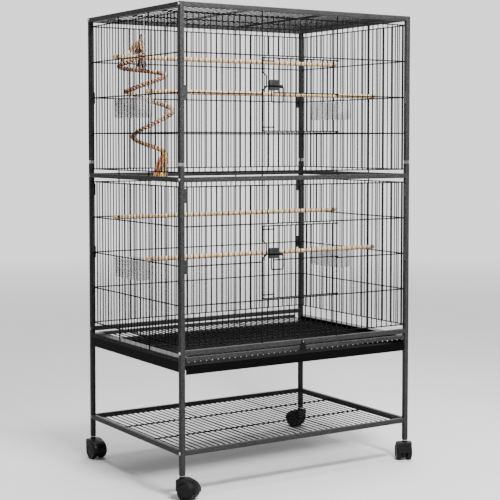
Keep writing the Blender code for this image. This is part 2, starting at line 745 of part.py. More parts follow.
def build_feeders():
    feeder = feeder_mesh()
    inner_face = HALF_X - THIN / 2 - GAP - CROSS - GAP
    for tier, middle in TIERS.items():
        z = middle - CROSS / 2 - FEEDER_BELOW
        place(f"{tier}_feeder_left", feeder, CLEAR, (-inner_face, FEEDER_Y, z))
        place(f"{tier}_feeder_right", feeder, CLEAR, (inner_face, FEEDER_Y, z), (0, 0, 180))


ROPE_RADIUS = 0.006
ROPE_COIL = 0.062                 # radius of the coil's centre line
ROPE_TURNS = 2.62
ROPE_START = 0.03                 # in turns, from the front of the coil
ROPE_AXIS_TOP = (-0.303, 0.130)
ROPE_AXIS_BOTTOM = (-0.303, 0.015)
ROPE_POINTS = 44


def rope_point(turn):
    """A coil that opens out downwards, its axis leaning to the front, its top end rising to the hook."""
    share = turn / ROPE_TURNS
    angle = math.radians(-90 - 360 * turn)
    x = ROPE_AXIS_TOP[0] + (ROPE_AXIS_BOTTOM[0] - ROPE_AXIS_TOP[0]) * share
    y = ROPE_AXIS_TOP[1] + (ROPE_AXIS_BOTTOM[1] - ROPE_AXIS_TOP[1]) * share
    fall = 0.045 * turn + 0.0222 * turn * turn
    # Up to the hook at the top end, and over the corner of the feeder cup half way down.
    rise = 0.035 * math.exp(-turn / 0.05) + 0.012 * math.exp(-((turn - 1.42) / 0.12) ** 2)
    z = MID_Z + 0.3445 - fall + rise + 0.0056 * math.cos(angle)
    return (x + ROPE_COIL * math.cos(angle), y + ROPE_COIL * math.sin(angle), z)


def build_rope_perch():
    steps = range(ROPE_POINTS)
    span = ROPE_TURNS - ROPE_START
    points = [rope_point(ROPE_START + span * step / (ROPE_POINTS - 1)) for step in steps]
    place("rope_perch", tube_along(points, ROPE_RADIUS, 2), ROPE)
    x, y, z = points[0]
    # The hook: an eye beside the rope's end, a shank, and a crook over a wire of the roof.
    wire_z = TOP_Z + 0.003
    eye_z = z + ROPE_RADIUS + 0.004
    crook_x = round((x / PITCH)) * PITCH
    crook = 0.0030
    route = [(x, y, eye_z), (x, y, wire_z - 0.030)]
    route += [(crook_x - crook, y, wire_z - 0.016), (crook_x - crook, y, wire_z)]
    bend = arc((crook_x, wire_z), crook, 180, 0, 6)
    route += [(u, y, v) for u, v in bend[1:]]
    route.append((crook_x + crook, y, wire_z - 0.006))
    place("rope_hook", tube_along(route, 0.0010, 1), ZINC)


# ---- Casters ----
WHEEL_INNER = 0.0078              # from the caster's middle plane to a wheel's inner face
WHEEL_OUTER = 0.0230
BODY_HALF = 0.0070
AXLE_RADIUS = 0.003
STEM_RADIUS = 0.004
# Where each caster points at rest: the direction from its swivel axis to its axle, in degrees from +X.
CASTER_TURN = {"front_left": -58, "front_right": 62, "back_left": -85, "back_right": 110}


def caster_body_mesh():
    """Fork between the wheels, boss under the post and stem in it. Swivel axis at x = 0."""
    axle = (TRAIL, WHEEL_RADIUS)
    hood = arc(axle, 0.0215, -150, 100, 14)
    hood += [(0.0075, 0.0525), (-0.0075, 0.0525), (-0.0075, 0.034)]
    blade = plate([hood], 2 * BODY_HALF)
    blade.transform(Matrix.Rotation(math.radians(90), 4, "X"))
    boss = cylinder((0, 0, 0.0512), (0, 0, POST_FOOT_Z - 0.0035), 0.0082, 16)
    stem = cylinder((0, 0, 0.058), (0, 0, POST_FOOT_Z + 0.032), STEM_RADIUS, 12)
    hole = cylinder((TRAIL, 0.02, WHEEL_RADIUS), (TRAIL, -0.02, WHEEL_RADIUS), AXLE_RADIUS + 0.0004, 12)
    return boolean(united([blade, boss, stem]), hole, "DIFFERENCE")


def caster_wheels_mesh():
    """Two wheels on one axle, turned from one profile round the axle."""
    tread = 0.0025
    half = [
        (AXLE_RADIUS, WHEEL_INNER), (WHEEL_RADIUS, WHEEL_INNER), (WHEEL_RADIUS, WHEEL_OUTER - tread),
        (WHEEL_RADIUS - tread, WHEEL_OUTER), (0.0, WHEEL_OUTER),
    ]
    profile = [(radius, -height) for radius, height in reversed(half)] + half
    wheels = turned(profile, 24)
    wheels.transform(Matrix.Rotation(math.radians(90), 4, "X"))
    return wheels


def build_casters():
    body = caster_body_mesh()
    wheels = caster_wheels_mesh()
    for corner, turn in CASTER_TURN.items():
        front, side = corner.split("_")
        x = -HALF_X if side == "left" else HALF_X
        y = -HALF_Y if front == "front" else HALF_Y
        swivel = pivot(f"caster_swivel_{corner}", (x, y, 0), turn)
        place(f"caster_fork_{corner}", body, PLASTIC, parent=swivel)
        place(f"caster_wheels_{corner}", wheels, PLASTIC, (TRAIL, 0, WHEEL_RADIUS), parent=swivel)


build_side_frames()
build_splices()
build_cross_rails()
build_panels()
build_grilles()
build_doors()
build_runners()
build_grate()
build_tray()
build_perches()
build_feeders()
build_rope_perch()
build_casters()
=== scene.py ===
import math
import random

import bmesh
import bpy
from mathutils import Matrix, Vector, noise


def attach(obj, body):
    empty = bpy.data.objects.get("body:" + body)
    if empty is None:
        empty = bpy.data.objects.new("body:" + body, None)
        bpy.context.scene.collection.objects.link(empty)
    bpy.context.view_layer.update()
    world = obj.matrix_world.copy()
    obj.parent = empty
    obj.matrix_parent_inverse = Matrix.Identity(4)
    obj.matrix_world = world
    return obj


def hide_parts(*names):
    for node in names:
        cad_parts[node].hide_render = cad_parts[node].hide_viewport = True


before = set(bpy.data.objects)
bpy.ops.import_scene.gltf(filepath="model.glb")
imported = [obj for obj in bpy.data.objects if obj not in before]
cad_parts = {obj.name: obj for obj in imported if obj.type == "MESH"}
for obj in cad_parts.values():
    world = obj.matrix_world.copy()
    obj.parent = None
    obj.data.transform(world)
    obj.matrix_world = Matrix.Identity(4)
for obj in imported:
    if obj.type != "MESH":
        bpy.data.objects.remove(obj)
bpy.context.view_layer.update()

# ---- Dimensions in metres, as in the CAD ----
PITCH = 0.0184                 # between the middles of neighbouring bars
FRONT_PITCHES = 42
SIDE_PITCHES = 30
FRONT_THIRDS = (FRONT_PITCHES // 3, 2 * FRONT_PITCHES // 3)
HALF_X = FRONT_PITCHES * PITCH / 2
HALF_Y = SIDE_PITCHES * PITCH / 2
TUBE = 0.0127
HALF_TUBE = TUBE / 2
SHELF_Z = 0.125                # heights of the rails' middles
BASE_Z = 0.396
TIER = 0.467
MID_Z = BASE_Z + TIER
TOP_Z = MID_Z + TIER
POST_FOOT_Z = 0.065
SPLICE_Z = MID_Z + 0.041       # where an upper post meets a lower one
SPLICE_SHOW = 0.009            # height of the collar that shows between them
TIERS = {"upper": MID_Z + TIER / 2, "lower": BASE_Z + TIER / 2}
ROW = 0.107                    # between the level wires of a panel
THIN = 0.0011                  # radii of the wires under their coat
LEVEL = 0.0012
HEAVY = 0.0016
RUNNER_TOP_Z = 0.3840
GRILLE_RISE = 0.003            # of the roof's and the shelf's wires over their rails' middles
GAP = 0.0003                   # between pieces that touch
SIDES = {"left": -1, "right": 1}

# ---- Drawn here only ----
WELD = 0.0002                  # how far crossing wires sink into each other
SINK = 0.0005                  # how far a wire's end reaches into a tube
COATING = 0.0005               # thickness of the coat on tubes and wires
THIN_COATING = 0.0003          # and on the roof's wires
DRAWN_TUBE = TUBE + 2 * COATING


def turned(degrees, axis="Z"):
    return Matrix.Rotation(math.radians(degrees), 4, axis)


def link(obj):
    bpy.context.scene.collection.objects.link(obj)


UPRIGHT = turned(90, "X")      # turns a shape's Y up
ALONG_X = turned(90, "Y")      # and its Z to X


# ---- Camera and light ----
def set_camera():
    data = bpy.data.cameras.new("camera")
    data.sensor_width = 36
    data.lens = 91.72
    data.shift_y = -0.090
    data.clip_end = 100
    camera = bpy.data.objects.new("camera", data)
    camera.location = (-2.062, -3.237, 0.966)
    camera.rotation_euler = (math.radians(87.134), 0, -0.5688)
    link(camera)
    bpy.context.scene.camera = camera


def add_light(name, location, target, size, power):
    data = bpy.data.lights.new(name, "AREA")
    data.shape = "DISK"
    data.size = size
    data.energy = power
    light = bpy.data.objects.new(name, data)
    light.location = location
    aim = Vector(target) - Vector(location)
    light.rotation_euler = aim.to_track_quat("-Z", "Y").to_euler()
    link(light)


set_camera()


# ---- Material helpers ----
class Nodes:
    """A material's node tree, with one line for each node that it adds."""

    def __init__(self, name):
        self.material = bpy.data.materials.new(name)
        self.material.use_nodes = True
        self.tree = self.material.node_tree
        self.shader = self.tree.nodes["Principled BSDF"]
        self.coordinates = self.add("ShaderNodeTexCoord").outputs["Object"]

    def add(self, kind, **settings):
        node = self.tree.nodes.new(kind)
        for key, value in settings.items():
            if key in node.inputs:
                self.put(node.inputs[key], value)
            else:
                setattr(node, key, value)
        return node

    def put(self, socket, value):
        if isinstance(value, bpy.types.NodeSocket):
            self.tree.links.new(value, socket)
        else:
            socket.default_value = value

    def shade(self, **values):
        for key, value in values.items():
            self.put(self.shader.inputs[key.replace("_", " ")], value)

    def stretched(self, scale):
        node = self.add("ShaderNodeMapping", Scale=scale)
        self.put(node.inputs["Vector"], self.coordinates)
        return node.outputs["Vector"]

    def noise(self, scale, detail=4.0, vector=None, roughness=0.5):
        node = self.add("ShaderNodeTexNoise", Scale=scale, Detail=detail, Roughness=roughness)
        self.put(node.inputs["Vector"], vector or self.coordinates)
        return node.outputs["Fac"]

    def cells(self, scale):
        node = self.add("ShaderNodeTexVoronoi", feature="SMOOTH_F1", Scale=scale, Smoothness=0.6)
        self.put(node.inputs["Vector"], self.coordinates)
        return node.outputs["Distance"]

    def ramp(self, factor, stops):
        node = self.add("ShaderNodeValToRGB")
        elements = node.color_ramp.elements
        while len(elements) < len(stops):
            elements.new(0.5)
        for element, (position, color) in zip(elements, stops):
            element.position = position
            element.color = (*color, 1.0)
        self.put(node.inputs["Fac"], factor)
        return node.outputs["Color"]

    def spread(self, factor, low, high, start=0.3, end=0.7):
        node = self.add("ShaderNodeMapRange")
        values = {"From Min": start, "From Max": end, "To Min": low, "To Max": high, "Value": factor}
        for key, value in values.items():
            self.put(node.inputs[key], value)
        return node.outputs["Result"]

    def mix(self, factor, first, second):
        node = self.add("ShaderNodeMix", data_type="RGBA")
        self.put(node.inputs[0], factor)
        self.put(node.inputs[6], first)
        self.put(node.inputs[7], second)
        return node.outputs[2]

    def bump(self, heights):
        """Bumps from (height, strength, depth in metres) in turn."""
        normal = None
        for height, strength, depth in heights:
            node = self.add("ShaderNodeBump", Strength=strength, Distance=depth, Height=height)
            if normal is not None:
                self.put(node.inputs["Normal"], normal)
            normal = node.outputs["Normal"]
        self.put(self.shader.inputs["Normal"], normal)


def times(color, factor):
    return tuple(part * factor for part in color)


def hammered_coat(name, dark, light, cell, roughness, shine):
    """Powder coat with a hammered surface: pale flecks on the crests, darker pools between them. The flecks
    are partly the coat's own tone and partly a painted highlight on the crests, and the pools are partly
    painted shade.
    """
    n = Nodes(name)
    cells = n.cells(cell)
    fine = n.noise(cell * 2.2, 3.0)
    broad = n.noise(18.0, 2.0)
    # Partly painted light: the pale stop is a painted highlight on the relief, the darkest stop painted
    # shade in its hollows, over the coat's own fleck tone.
    flecks = n.ramp(cells, [(0.12, light), (0.42, dark), (0.8, times(dark, 0.75))])
    grain = n.ramp(fine, [(0.35, times(dark, 0.7)), (0.68, light)])
    color = n.mix(0.45, flecks, grain)
    color = n.mix(n.spread(broad, 0.0, 0.25), color, (*times(dark, 1.6), 1.0))
    n.shade(Base_Color=color, Specular_IOR_Level=shine,
            Roughness=n.spread(fine, roughness - 0.08, roughness + 0.14))
    n.bump([(cells, 0.5, 0.0006), (fine, 0.25, 0.0003)])
    return n.material


def runner_sheet():
    """Black sheet steel, with a painted grey highlight above the fold at its upper edge, where the flange's
    top catches the light.
    """
    n = Nodes("runner_coat")
    split = n.add("ShaderNodeSeparateXYZ")
    n.put(split.inputs[0], n.coordinates)
    fold_z = RUNNER_TOP_Z - 0.0119
    # Painted highlight: everything above the fold is greyer, as if the flange's top caught the light.
    painted_flange_highlight = n.spread(split.outputs["Z"], 0.0, 1.0, fold_z - 0.0003, fold_z + 0.0003)
    flecks = n.cells(260.0)
    black = n.ramp(flecks, [(0.2, (0.007,) * 3), (0.6, (0.003,) * 3)])
    highlight_grey = n.ramp(flecks, [(0.15, (0.060, 0.060, 0.062)), (0.5, (0.022, 0.022, 0.023))])
    n.shade(Base_Color=n.mix(painted_flange_highlight, black, highlight_grey), Specular_IOR_Level=0.03,
            Roughness=n.spread(n.noise(300.0, 3.0), 0.10, 0.26))
    n.bump([(flecks, 0.2, 0.0003)])
    return n.material


def moulded_plastic(name, color, roughness):
    """Plastic with a fine grain, paler where hands and floors have worn it."""
    n = Nodes(name)
    fine = n.noise(1500.0, 3.0)
    broad = n.noise(35.0, 3.0)
    worn = n.ramp(broad, [(0.35, color), (0.75, tuple(min(1.0, c * 1.5 + 0.004) for c in color))])
    n.shade(Base_Color=worn, Specular_IOR_Level=0.25,
            Roughness=n.spread(broad, roughness - 0.07, roughness + 0.1))
    n.bump([(fine, 0.25, 0.00015), (broad, 0.15, 0.0006)])
    return n.material


def plated_steel(name, dark, light):
    """Zinc plating, with drawing marks along Z and a spangle in its gloss."""
    n = Nodes(name)
    along = n.noise(60.0, 4.0, n.stretched((1.0, 1.0, 14.0)))
    spangle = n.noise(240.0, 2.0)
    color = n.ramp(along, [(0.3, dark), (0.7, light)])
    n.shade(Base_Color=color, Metallic=1.0, Roughness=n.spread(spangle, 0.22, 0.4))
    n.bump([(along, 0.12, 0.0002)])
    return n.material


def dowel_wood():
    """Pale wood, with grain, streaks and pores along X."""
    n = Nodes("pale_wood")
    grain = n.noise(1.0, 7.0, n.stretched((9.0, 240.0, 240.0)), 0.62)
    streak = n.noise(1.0, 3.0, n.stretched((3.5, 90.0, 90.0)))
    pores = n.noise(1.0, 2.0, n.stretched((60.0, 1400.0, 1400.0)))
    stops = [(0.28, (0.42, 0.26, 0.13)), (0.5, (0.66, 0.46, 0.27)), (0.74, (0.80, 0.61, 0.40))]
    color = n.ramp(grain, stops)
    color = n.mix(n.spread(streak, 0.0, 0.4), color, (0.50, 0.33, 0.18, 1.0))
    color = n.mix(n.spread(pores, 0.22, 0.0, 0.3, 0.42), color, (0.22, 0.13, 0.07, 1.0))
    n.shade(Base_Color=color, Roughness=n.spread(streak, 0.52, 0.72))
    n.bump([(grain, 0.3, 0.0005), (pores, 0.3, 0.0002)])
    return n.material


def cup_plastic(name, color, alpha):
    """Thin clear plastic, hazy from use."""
    n = Nodes(name)
    haze = n.noise(70.0, 3.0)
    flow = n.noise(1.0, 3.0, n.stretched((30.0, 12.0, 140.0)))
    tint = n.ramp(haze, [(0.3, color), (0.7, times(color, 1.08))])
    n.shade(Base_Color=tint, Roughness=n.spread(haze, 0.16, 0.34),
            Alpha=n.spread(flow, alpha - 0.06, alpha + 0.08))
    n.bump([(flow, 0.1, 0.0004)])
    return n.material


def rope_yarn():
    """Dyed cotton: each yarn's colour comes with the mesh, and fibres run along it."""
    n = Nodes("cotton_rope")
    yarn = n.add("ShaderNodeAttribute", attribute_name="yarn")
    fibres = n.noise(1.0, 4.0, n.stretched((1500.0, 1500.0, 400.0)), 0.6)
    faded = n.noise(90.0, 2.0)
    color = n.mix(n.spread(fibres, 0.0, 0.22), yarn.outputs["Color"], (0.66, 0.52, 0.36, 1.0))
    color = n.mix(n.spread(faded, 0.0, 0.15), color, (0.06, 0.035, 0.03, 1.0))
    n.shade(Base_Color=color, Roughness=0.92, Sheen_Weight=0.3, Sheen_Roughness=0.6)
    n.bump([(fibres, 0.6, 0.0006)])
    return n.material


COAT = hammered_coat("hammered_coat", (0.0098, 0.0098, 0.0103), (0.113, 0.114, 0.116), 270.0, 0.38, 0.16)
WIRE = hammered_coat("wire_coat", (0.005,) * 3, (0.024, 0.025, 0.025), 650.0, 0.45, 0.04)
RUNNER = runner_sheet()
TRAY = hammered_coat("tray_black", (0.0022,) * 3, (0.005,) * 3, 240.0, 0.50, 0.04)
GRATE = hammered_coat("grate_black", (0.004,) * 3, (0.018,) * 3, 650.0, 0.42, 0.10)
PLASTIC = moulded_plastic("black_plastic", (0.004,) * 3, 0.42)
LATCH = moulded_plastic("latch_plastic", (0.020, 0.021, 0.021), 0.45)
WHITE = moulded_plastic("white_plastic", (0.80, 0.80, 0.79), 0.35)
ZINC = plated_steel("zinc", (0.66, 0.67, 0.68), (0.86, 0.86, 0.85))
BOLT = plated_steel("bolt_steel", (0.48, 0.48, 0.46), (0.72, 0.72, 0.69))
WOOD = dowel_wood()
CUP = cup_plastic("clear_plastic", (0.70, 0.68, 0.70), 0.34)
YARN = rope_yarn()


# ---- Shape helpers ----
def add_piece(name, data, material, body, replaces):
    """A piece of the object, which rides on a body and may stand for CAD nodes."""
    data.materials.append(material)
    obj = bpy.data.objects.new(name, data)
    link(obj)
    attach(obj, body)
    if replaces:
        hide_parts(*replaces)
    return obj


def show(name, shape, material, body, replaces=(), smooth=40, at=Matrix()):
    """Adds a shape, moved to its place, with edges sharper than smooth degrees left sharp."""
    bmesh.ops.transform(shape, matrix=at, verts=shape.verts)
    bmesh.ops.recalc_face_normals(shape, faces=shape.faces)
    mesh = bpy.data.meshes.new(name)
    shape.to_mesh(mesh)
    shape.free()
    mesh.shade_smooth()
    mesh.set_sharp_from_angle(angle=math.radians(smooth))
    return add_piece(name, mesh, material, body, replaces)


def wires(name, runs, material, body, slot="wire_coat", replaces=(), resolution=2, at=Matrix(),
          coating=COATING):
    """Round wires in one piece, from a list of (radius without the coat, points)."""
    curve = bpy.data.curves.new(name, "CURVE")
    curve.dimensions = "3D"
    curve.bevel_depth = 1.0
    curve.bevel_resolution = resolution
    curve.use_fill_caps = True
    for radius, points in runs:
        spline = curve.splines.new("POLY")
        spline.points.add(len(points) - 1)
        for point, place in zip(spline.points, points):
            point.co = (*(at @ Vector(place)), 1.0)
            point.radius = radius + (coating if slot == "wire_coat" else 0.0)
    add_piece(name, curve, material, body, replaces)


def arc(center, radius, start, end, steps):
    """Points along an arc, from one angle in degrees to another."""
    points = []
    for step in range(steps + 1):
        angle = math.radians(start + (end - start) * step / steps)
        points.append((center[0] + radius * math.cos(angle), center[1] + radius * math.sin(angle)))
    return points


def rounded_rectangle(width, depth, radius, steps):
    """Outline about the origin with rounded corners."""
    points = []
    for corner, (sx, sy) in enumerate(((1, 1), (-1, 1), (-1, -1), (1, -1))):
        center = (sx * (width / 2 - radius), sy * (depth / 2 - radius))
        points += arc(center, radius, 90 * corner, 90 * corner + 90, steps)
    return points


def skin(shape, rings, capped=True):
    """Joins each ring of points to the next, and closes the first and the last."""
    for low, high in zip(rings, rings[1:]):
        for index in range(len(low)):
            after = (index + 1) % len(low)
            shape.faces.new((low[index], low[after], high[after], high[index]))
    if capped:
        shape.faces.new(rings[0][::-1])
        shape.faces.new(rings[-1])


def facing(start, end):
    """Stands on start with Z towards end, and X and Y square to the world's axes."""
    z = (Vector(end) - Vector(start)).normalized()
    guide = Vector((0, 0, 1)) if abs(z.z) < 0.5 else Vector((1, 0, 0))
    x = guide.cross(z).normalized()
    turn = Matrix((x, z.cross(x), z)).transposed().to_4x4()
    return Matrix.Translation(start) @ turn


def square_tube(shape, start, end, size=DRAWN_TUBE, radius=0.0018):
    """A length of square tube with rounded edges and slightly eased ends."""
    at = facing(start, end)
    length = (Vector(end) - Vector(start)).length
    ease = 0.0004
    eased = 1 - 2 * ease / size
    outline = rounded_rectangle(size, size, radius, 4)
    rings = []
    for height, scale in ((0.0, eased), (ease, 1.0), (length - ease, 1.0), (length, eased)):
        rings.append([shape.verts.new(at @ Vector((x * scale, y * scale, height))) for x, y in outline])
    skin(shape, rings)


def lathe(shape, profile, sides, at=Matrix()):
    """Turns a profile of (radius, height) round Z. A radius of 0 closes it on the axis."""
    rings = []
    for radius, height in profile:
        if radius < 1e-7:
            rings.append([shape.verts.new(at @ Vector((0, 0, height)))])
            continue
        ring = []
        for index in range(sides):
            angle = 2 * math.pi * index / sides
            place = Vector((radius * math.cos(angle), radius * math.sin(angle), height))
            ring.append(shape.verts.new(at @ place))
        rings.append(ring)
    for low, high in zip(rings, rings[1:]):
        for index in range(sides):
            after = (index + 1) % sides
            if len(low) == 1:
                shape.faces.new((low[0], high[after], high[index]))
            elif len(high) == 1:
                shape.faces.new((low[index], low[after], high[0]))
            else:
                shape.faces.new((low[index], low[after], high[after], high[index]))


def slab(shape, outline, thickness, at=Matrix(), ease=0.0004):
    """A flat outline thickened evenly about its plane, its long edges eased."""
    center = Vector((sum(x for x, _ in outline), sum(y for _, y in outline))) / len(outline)
    inner = []
    for x, y in outline:
        away = Vector((x, y)) - center
        inner.append(tuple(center + away * (1 - ease / max(away.length, 1e-6))))
    rings = []
    half = thickness / 2
    for points, height in ((inner, -half), (outline, -half + ease), (outline, half - ease), (inner, half)):
        rings.append([shape.verts.new(at @ Vector((x, y, height))) for x, y in points])
    skin(shape, rings)


def rounded_route(corners, radius, steps=4):
    """A route through the corners, each inner one rounded off."""
    route = [tuple(corners[0])]
    for before, corner, after in zip(corners, corners[1:], corners[2:]):
        corner = Vector(corner)
        back = (Vector(before) - corner).normalized()
        on = (Vector(after) - corner).normalized()
        reach = radius / math.tan(back.angle(on) / 2)
        start = corner + back * reach
        end = corner + on * reach
        for step in range(steps + 1):
            share = step / steps
            point = start * (1 - share) ** 2 + corner * 2 * share * (1 - share) + end * share**2
            route.append(tuple(point))
    route.append(tuple(corners[-1]))
    return route


# ---- Rope perch: three twisted strands of dyed yarn on a hook ----
ROPE_COIL = 0.062              # radius of the coil
ROPE_X = -0.303                # the coil's middle, which moves forward as it falls
ROPE_TOP_Y = 0.130
ROPE_LOW_Y = 0.015
ROPE_TURNS = 2.62
ROPE_START = 0.03              # in turns, from the front of the coil
ROPE_POINTS = 44
ROPE_DIAMETER = 0.012
ROPE_LAY = 0.030               # length of one twist
PALETTE = (
    (0.86, 0.72, 0.48), (0.52, 0.36, 0.05), (0.34, 0.02, 0.03), (0.03, 0.025, 0.10), (0.80, 0.26, 0.03),
    (0.24, 0.09, 0.05), (0.34, 0.22, 0.40), (0.74, 0.48, 0.08),
)
TASSEL_YARNS = tuple(PALETTE[pick] for pick in (2, 4, 7, 2, 3, 5, 1))
DARK_YARNS = (
    (0.05, 0.03, 0.10), (0.16, 0.03, 0.04), (0.02, 0.02, 0.06), (0.42, 0.30, 0.22), (0.10, 0.04, 0.09),
)


def rope_point(turn):
    """Where the rope's middle is after so many turns down the coil."""
    angle = math.radians(-90 - 360 * turn)
    y = ROPE_TOP_Y + (ROPE_LOW_Y - ROPE_TOP_Y) * turn / ROPE_TURNS
    fall = 0.045 * turn + 0.0222 * turn * turn
    rise = 0.035 * math.exp(-turn / 0.05) + 0.012 * math.exp(-((turn - 1.42) / 0.12) ** 2)
    z = MID_Z + 0.3445 - fall + rise + 0.0056 * math.cos(angle)
    return Vector((ROPE_X + ROPE_COIL * math.cos(angle), y + ROPE_COIL * math.sin(angle), z))


def rope_route():
    """The CAD's own points along the rope's middle."""
    span = ROPE_TURNS - ROPE_START
    return [rope_point(ROPE_START + span * step / (ROPE_POINTS - 1)) for step in range(ROPE_POINTS)]


def spaced(points, gap):
    """Points a fixed gap apart along a smooth line through the given ones."""
    fine = []
    ends = [points[0] * 2 - points[1], *points, points[-1] * 2 - points[-2]]
    for a, b, c, d in zip(ends, ends[1:], ends[2:], ends[3:]):
        for step in range(12):
            t = step / 12
            square = (2 * a - 5 * b + 4 * c - d) * t * t
            cube = (3 * b - a - 3 * c + d) * t**3
            fine.append(0.5 * (2 * b + (c - a) * t + square + cube))
    fine.append(points[-1].copy())
    out = [fine[0]]
    left = gap
    for start, end in zip(fine, fine[1:]):
        length = (end - start).length
        while length >= left:
            start = start + (end - start) * (left / length)
            out.append(start)
            length -= left
            left = gap
        left -= length
    return out


def twisted_rope(points):
    """Three strands twisted round a line, each a bundle of coloured yarns."""
    shape = bmesh.new()
    yarn = shape.verts.layers.float_color.new("yarn")
    strand = ROPE_DIAMETER / 2 * 0.64
    offset = ROPE_DIAMETER / 2 * 0.54
    sides = 10
    rings = [[] for _ in range(3)]
    side = Vector((0, 0, 1))
    travelled = 0.0
    for index, point in enumerate(points):
        before = points[max(index - 1, 0)]
        after = points[min(index + 1, len(points) - 1)]
        along = (after - before).normalized()
        side = (side - along * side.dot(along)).normalized()
        across = along.cross(side)
        if index:
            travelled += (point - points[index - 1]).length
        for number in range(3):
            turn = 2 * math.pi * (travelled / ROPE_LAY + number / 3)
            middle = point + (side * math.cos(turn) + across * math.sin(turn)) * offset
            ring = []
            for spot in range(sides):
                angle = turn + 2 * math.pi * spot / sides
                ripple = math.cos(5 * (angle + 2 * math.pi * travelled / (ROPE_LAY * 0.6)))
                reach = strand * (1.0 + 0.05 * ripple)
                vert = shape.verts.new(middle + (side * math.cos(angle) + across * math.sin(angle)) * reach)
                roll = (spot / sides - travelled / (ROPE_LAY * 0.75)) % 1.0
                pick = int(roll * len(PALETTE) + number * 3) % len(PALETTE)
                vert[yarn] = (*PALETTE[pick], 1.0)
                ring.append(vert)
            rings[number].append(ring)
    for strand_rings in rings:
        skin(shape, strand_rings)
    return shape


def dyed_ring(shape, yarn, points, color):
    """A ring of points that carry the yarn's colour."""
    ring = [shape.verts.new(point) for point in points]
    for vert in ring:
        vert[yarn] = (*color, 1.0)
    return ring


def yarn_tube(shape, yarn, points, thick, color):
    """One loose yarn along the points, thinner towards its end."""
    rings = []
    for index, point in enumerate(points):
        before = points[max(index - 1, 0)]
        after = points[min(index + 1, len(points) - 1)]
        at = facing(point, point + (after - before))
        reach = thick * (1 - 0.35 * index / len(points))
        outline = [at @ Vector((x, y, 0)) for x, y in arc((0, 0), reach, 0, 288, 4)]
        rings.append(dyed_ring(shape, yarn, outline, color))
    skin(shape, rings)


def yarn_bundle(shape, yarn, corners, spreads, count, thick, colors, rng):
    """Yarns side by side along one line. Each strays by up to the spread at each corner of the line."""
    for number in range(count):
        way = Vector([rng.uniform(-1, 1) for _ in range(3)])
        line = []
        for corner, spread in zip(corners, spreads):
            stray = way + Vector([rng.uniform(-0.4, 0.4) for _ in range(3)])
            line.append(Vector(corner) + stray * spread)
        size = thick * rng.uniform(0.8, 1.15)
        yarn_tube(shape, yarn, spaced(line, 0.004), size, colors[number % len(colors)])


def whipping(shape, yarn, low, high, radius, turns, color):
    """Thread wound round and round a rope end."""
    axis = facing(low, high)
    length = (high - low).length
    thread = length / turns / 2
    steps = 14
    rings = []
    for step in range(turns * steps + 1):
        turn = 2 * math.pi * step / steps
        height = thread + (length - 2 * thread) * step / (turns * steps)
        out = Vector((math.cos(turn), math.sin(turn), 0))
        middle = out * radius + Vector((0, 0, height))
        section = arc((0, 0), thread, 0, 300, 5)
        outline = [axis @ (middle + out * (0.9 * across) + Vector((0, 0, up))) for across, up in section]
        rings.append(dyed_ring(shape, yarn, outline, color))
    skin(shape, rings, capped=False)


def build_rope_perch():
    """The rope along its route, both its ends of loose yarn, and its hook."""
    route = rope_route()
    smooth = spaced(route, 0.0022)
    rope = show("rope_perch_twisted", twisted_rope(smooth), YARN, "cage", ("rope_perch",), 60)
    rng = random.Random(7)
    ends = bmesh.new()
    yarn = ends.verts.layers.float_color.new("yarn")
    # Above: the strands open out into a tent below a knot, and hang under it as a tassel.
    start = smooth[0]
    knot = start + Vector((0.008, 0.036, 0.040))
    side = rope_point(0.24)
    foot = start + Vector((-0.012, 0.066, 0.006))
    yarn_bundle(
        ends, yarn,
        [knot, (knot + foot) / 2 + Vector((0, 0, 0.003)), foot, side + Vector((0, 0, 0.006)), side],
        [0.003, 0.004, 0.004, 0.003, 0.002], 12, 0.0019, PALETTE, rng,
    )
    for step in range(5):
        share = (step + 0.5) / 5
        end = foot.lerp(start, share)
        yarn_bundle(
            ends, yarn, [knot, (knot + end) / 2, end + Vector((0, 0, -0.003))],
            [0.002, 0.005, 0.006], 9, 0.0018, PALETTE, rng,
        )
    yarn_bundle(
        ends, yarn, [knot + Vector((0, 0, 0.012)), knot, knot + Vector((-0.004, -0.004, -0.012))],
        [0.005, 0.002, 0.006], 12, 0.0014, DARK_YARNS, rng,
    )
    top = knot + Vector((-0.006, -0.012, -0.034))
    yarn_bundle(
        ends, yarn, [knot, top, top + Vector((0.0, 0.0, -0.025)), top + Vector((0.001, 0.0, -0.052))],
        [0.002, 0.005, 0.010, 0.013], 38, 0.0019, DARK_YARNS, rng,
    )
    whipping(ends, yarn, top + Vector((0, 0, -0.004)), top + Vector((0, 0, 0.008)), 0.0066, 6, PALETTE[3])
    # Below: a bound end and a full tassel.
    low = smooth[-1]
    out = (smooth[-1] - smooth[-7]).normalized()
    whipping(ends, yarn, low - out * 0.010, low + out * 0.004, 0.0072, 8, PALETTE[7])
    yarn_bundle(
        ends, yarn,
        [low, low + out * 0.010 + Vector((0, 0, -0.012)), low + Vector((-0.002, 0, -0.042)),
         low + Vector((-0.006, 0, -0.078))],
        [0.002, 0.006, 0.012, 0.017], 52, 0.0019, TASSEL_YARNS, rng,
    )
    tassels = show("rope_perch_tassels", ends, YARN, "cage", smooth=60)
    build_rope_hook(*route[0])


def build_rope_hook(x, y, z):
    """An eye over the rope's upper end, a shank, and a crook over the nearest wire of the roof."""
    wire = 0.0010
    wire_z = TOP_Z + GRILLE_RISE
    eye_z = z + 0.010
    eye_radius = 0.005
    crook_x = round(x / PITCH) * PITCH
    crook = 0.0030
    left = crook_x - crook
    hook = [(x, y, eye_z), (x, y, wire_z - 0.030), (left, y, wire_z - 0.016), (left, y, wire_z)]
    hook += [(u, y, v) for u, v in arc((crook_x, wire_z), crook, 180, 0, 10)[1:]]
    hook.append((crook_x + crook, y, wire_z - 0.006))
    eye = [(u, y, v) for u, v in arc((x, eye_z - eye_radius), eye_radius, 90, 440, 18)]
    wires("rope_hook_wire", [(wire, hook), (wire, eye)], ZINC, "cage", "zinc", ("rope_hook",))


build_rope_perch()


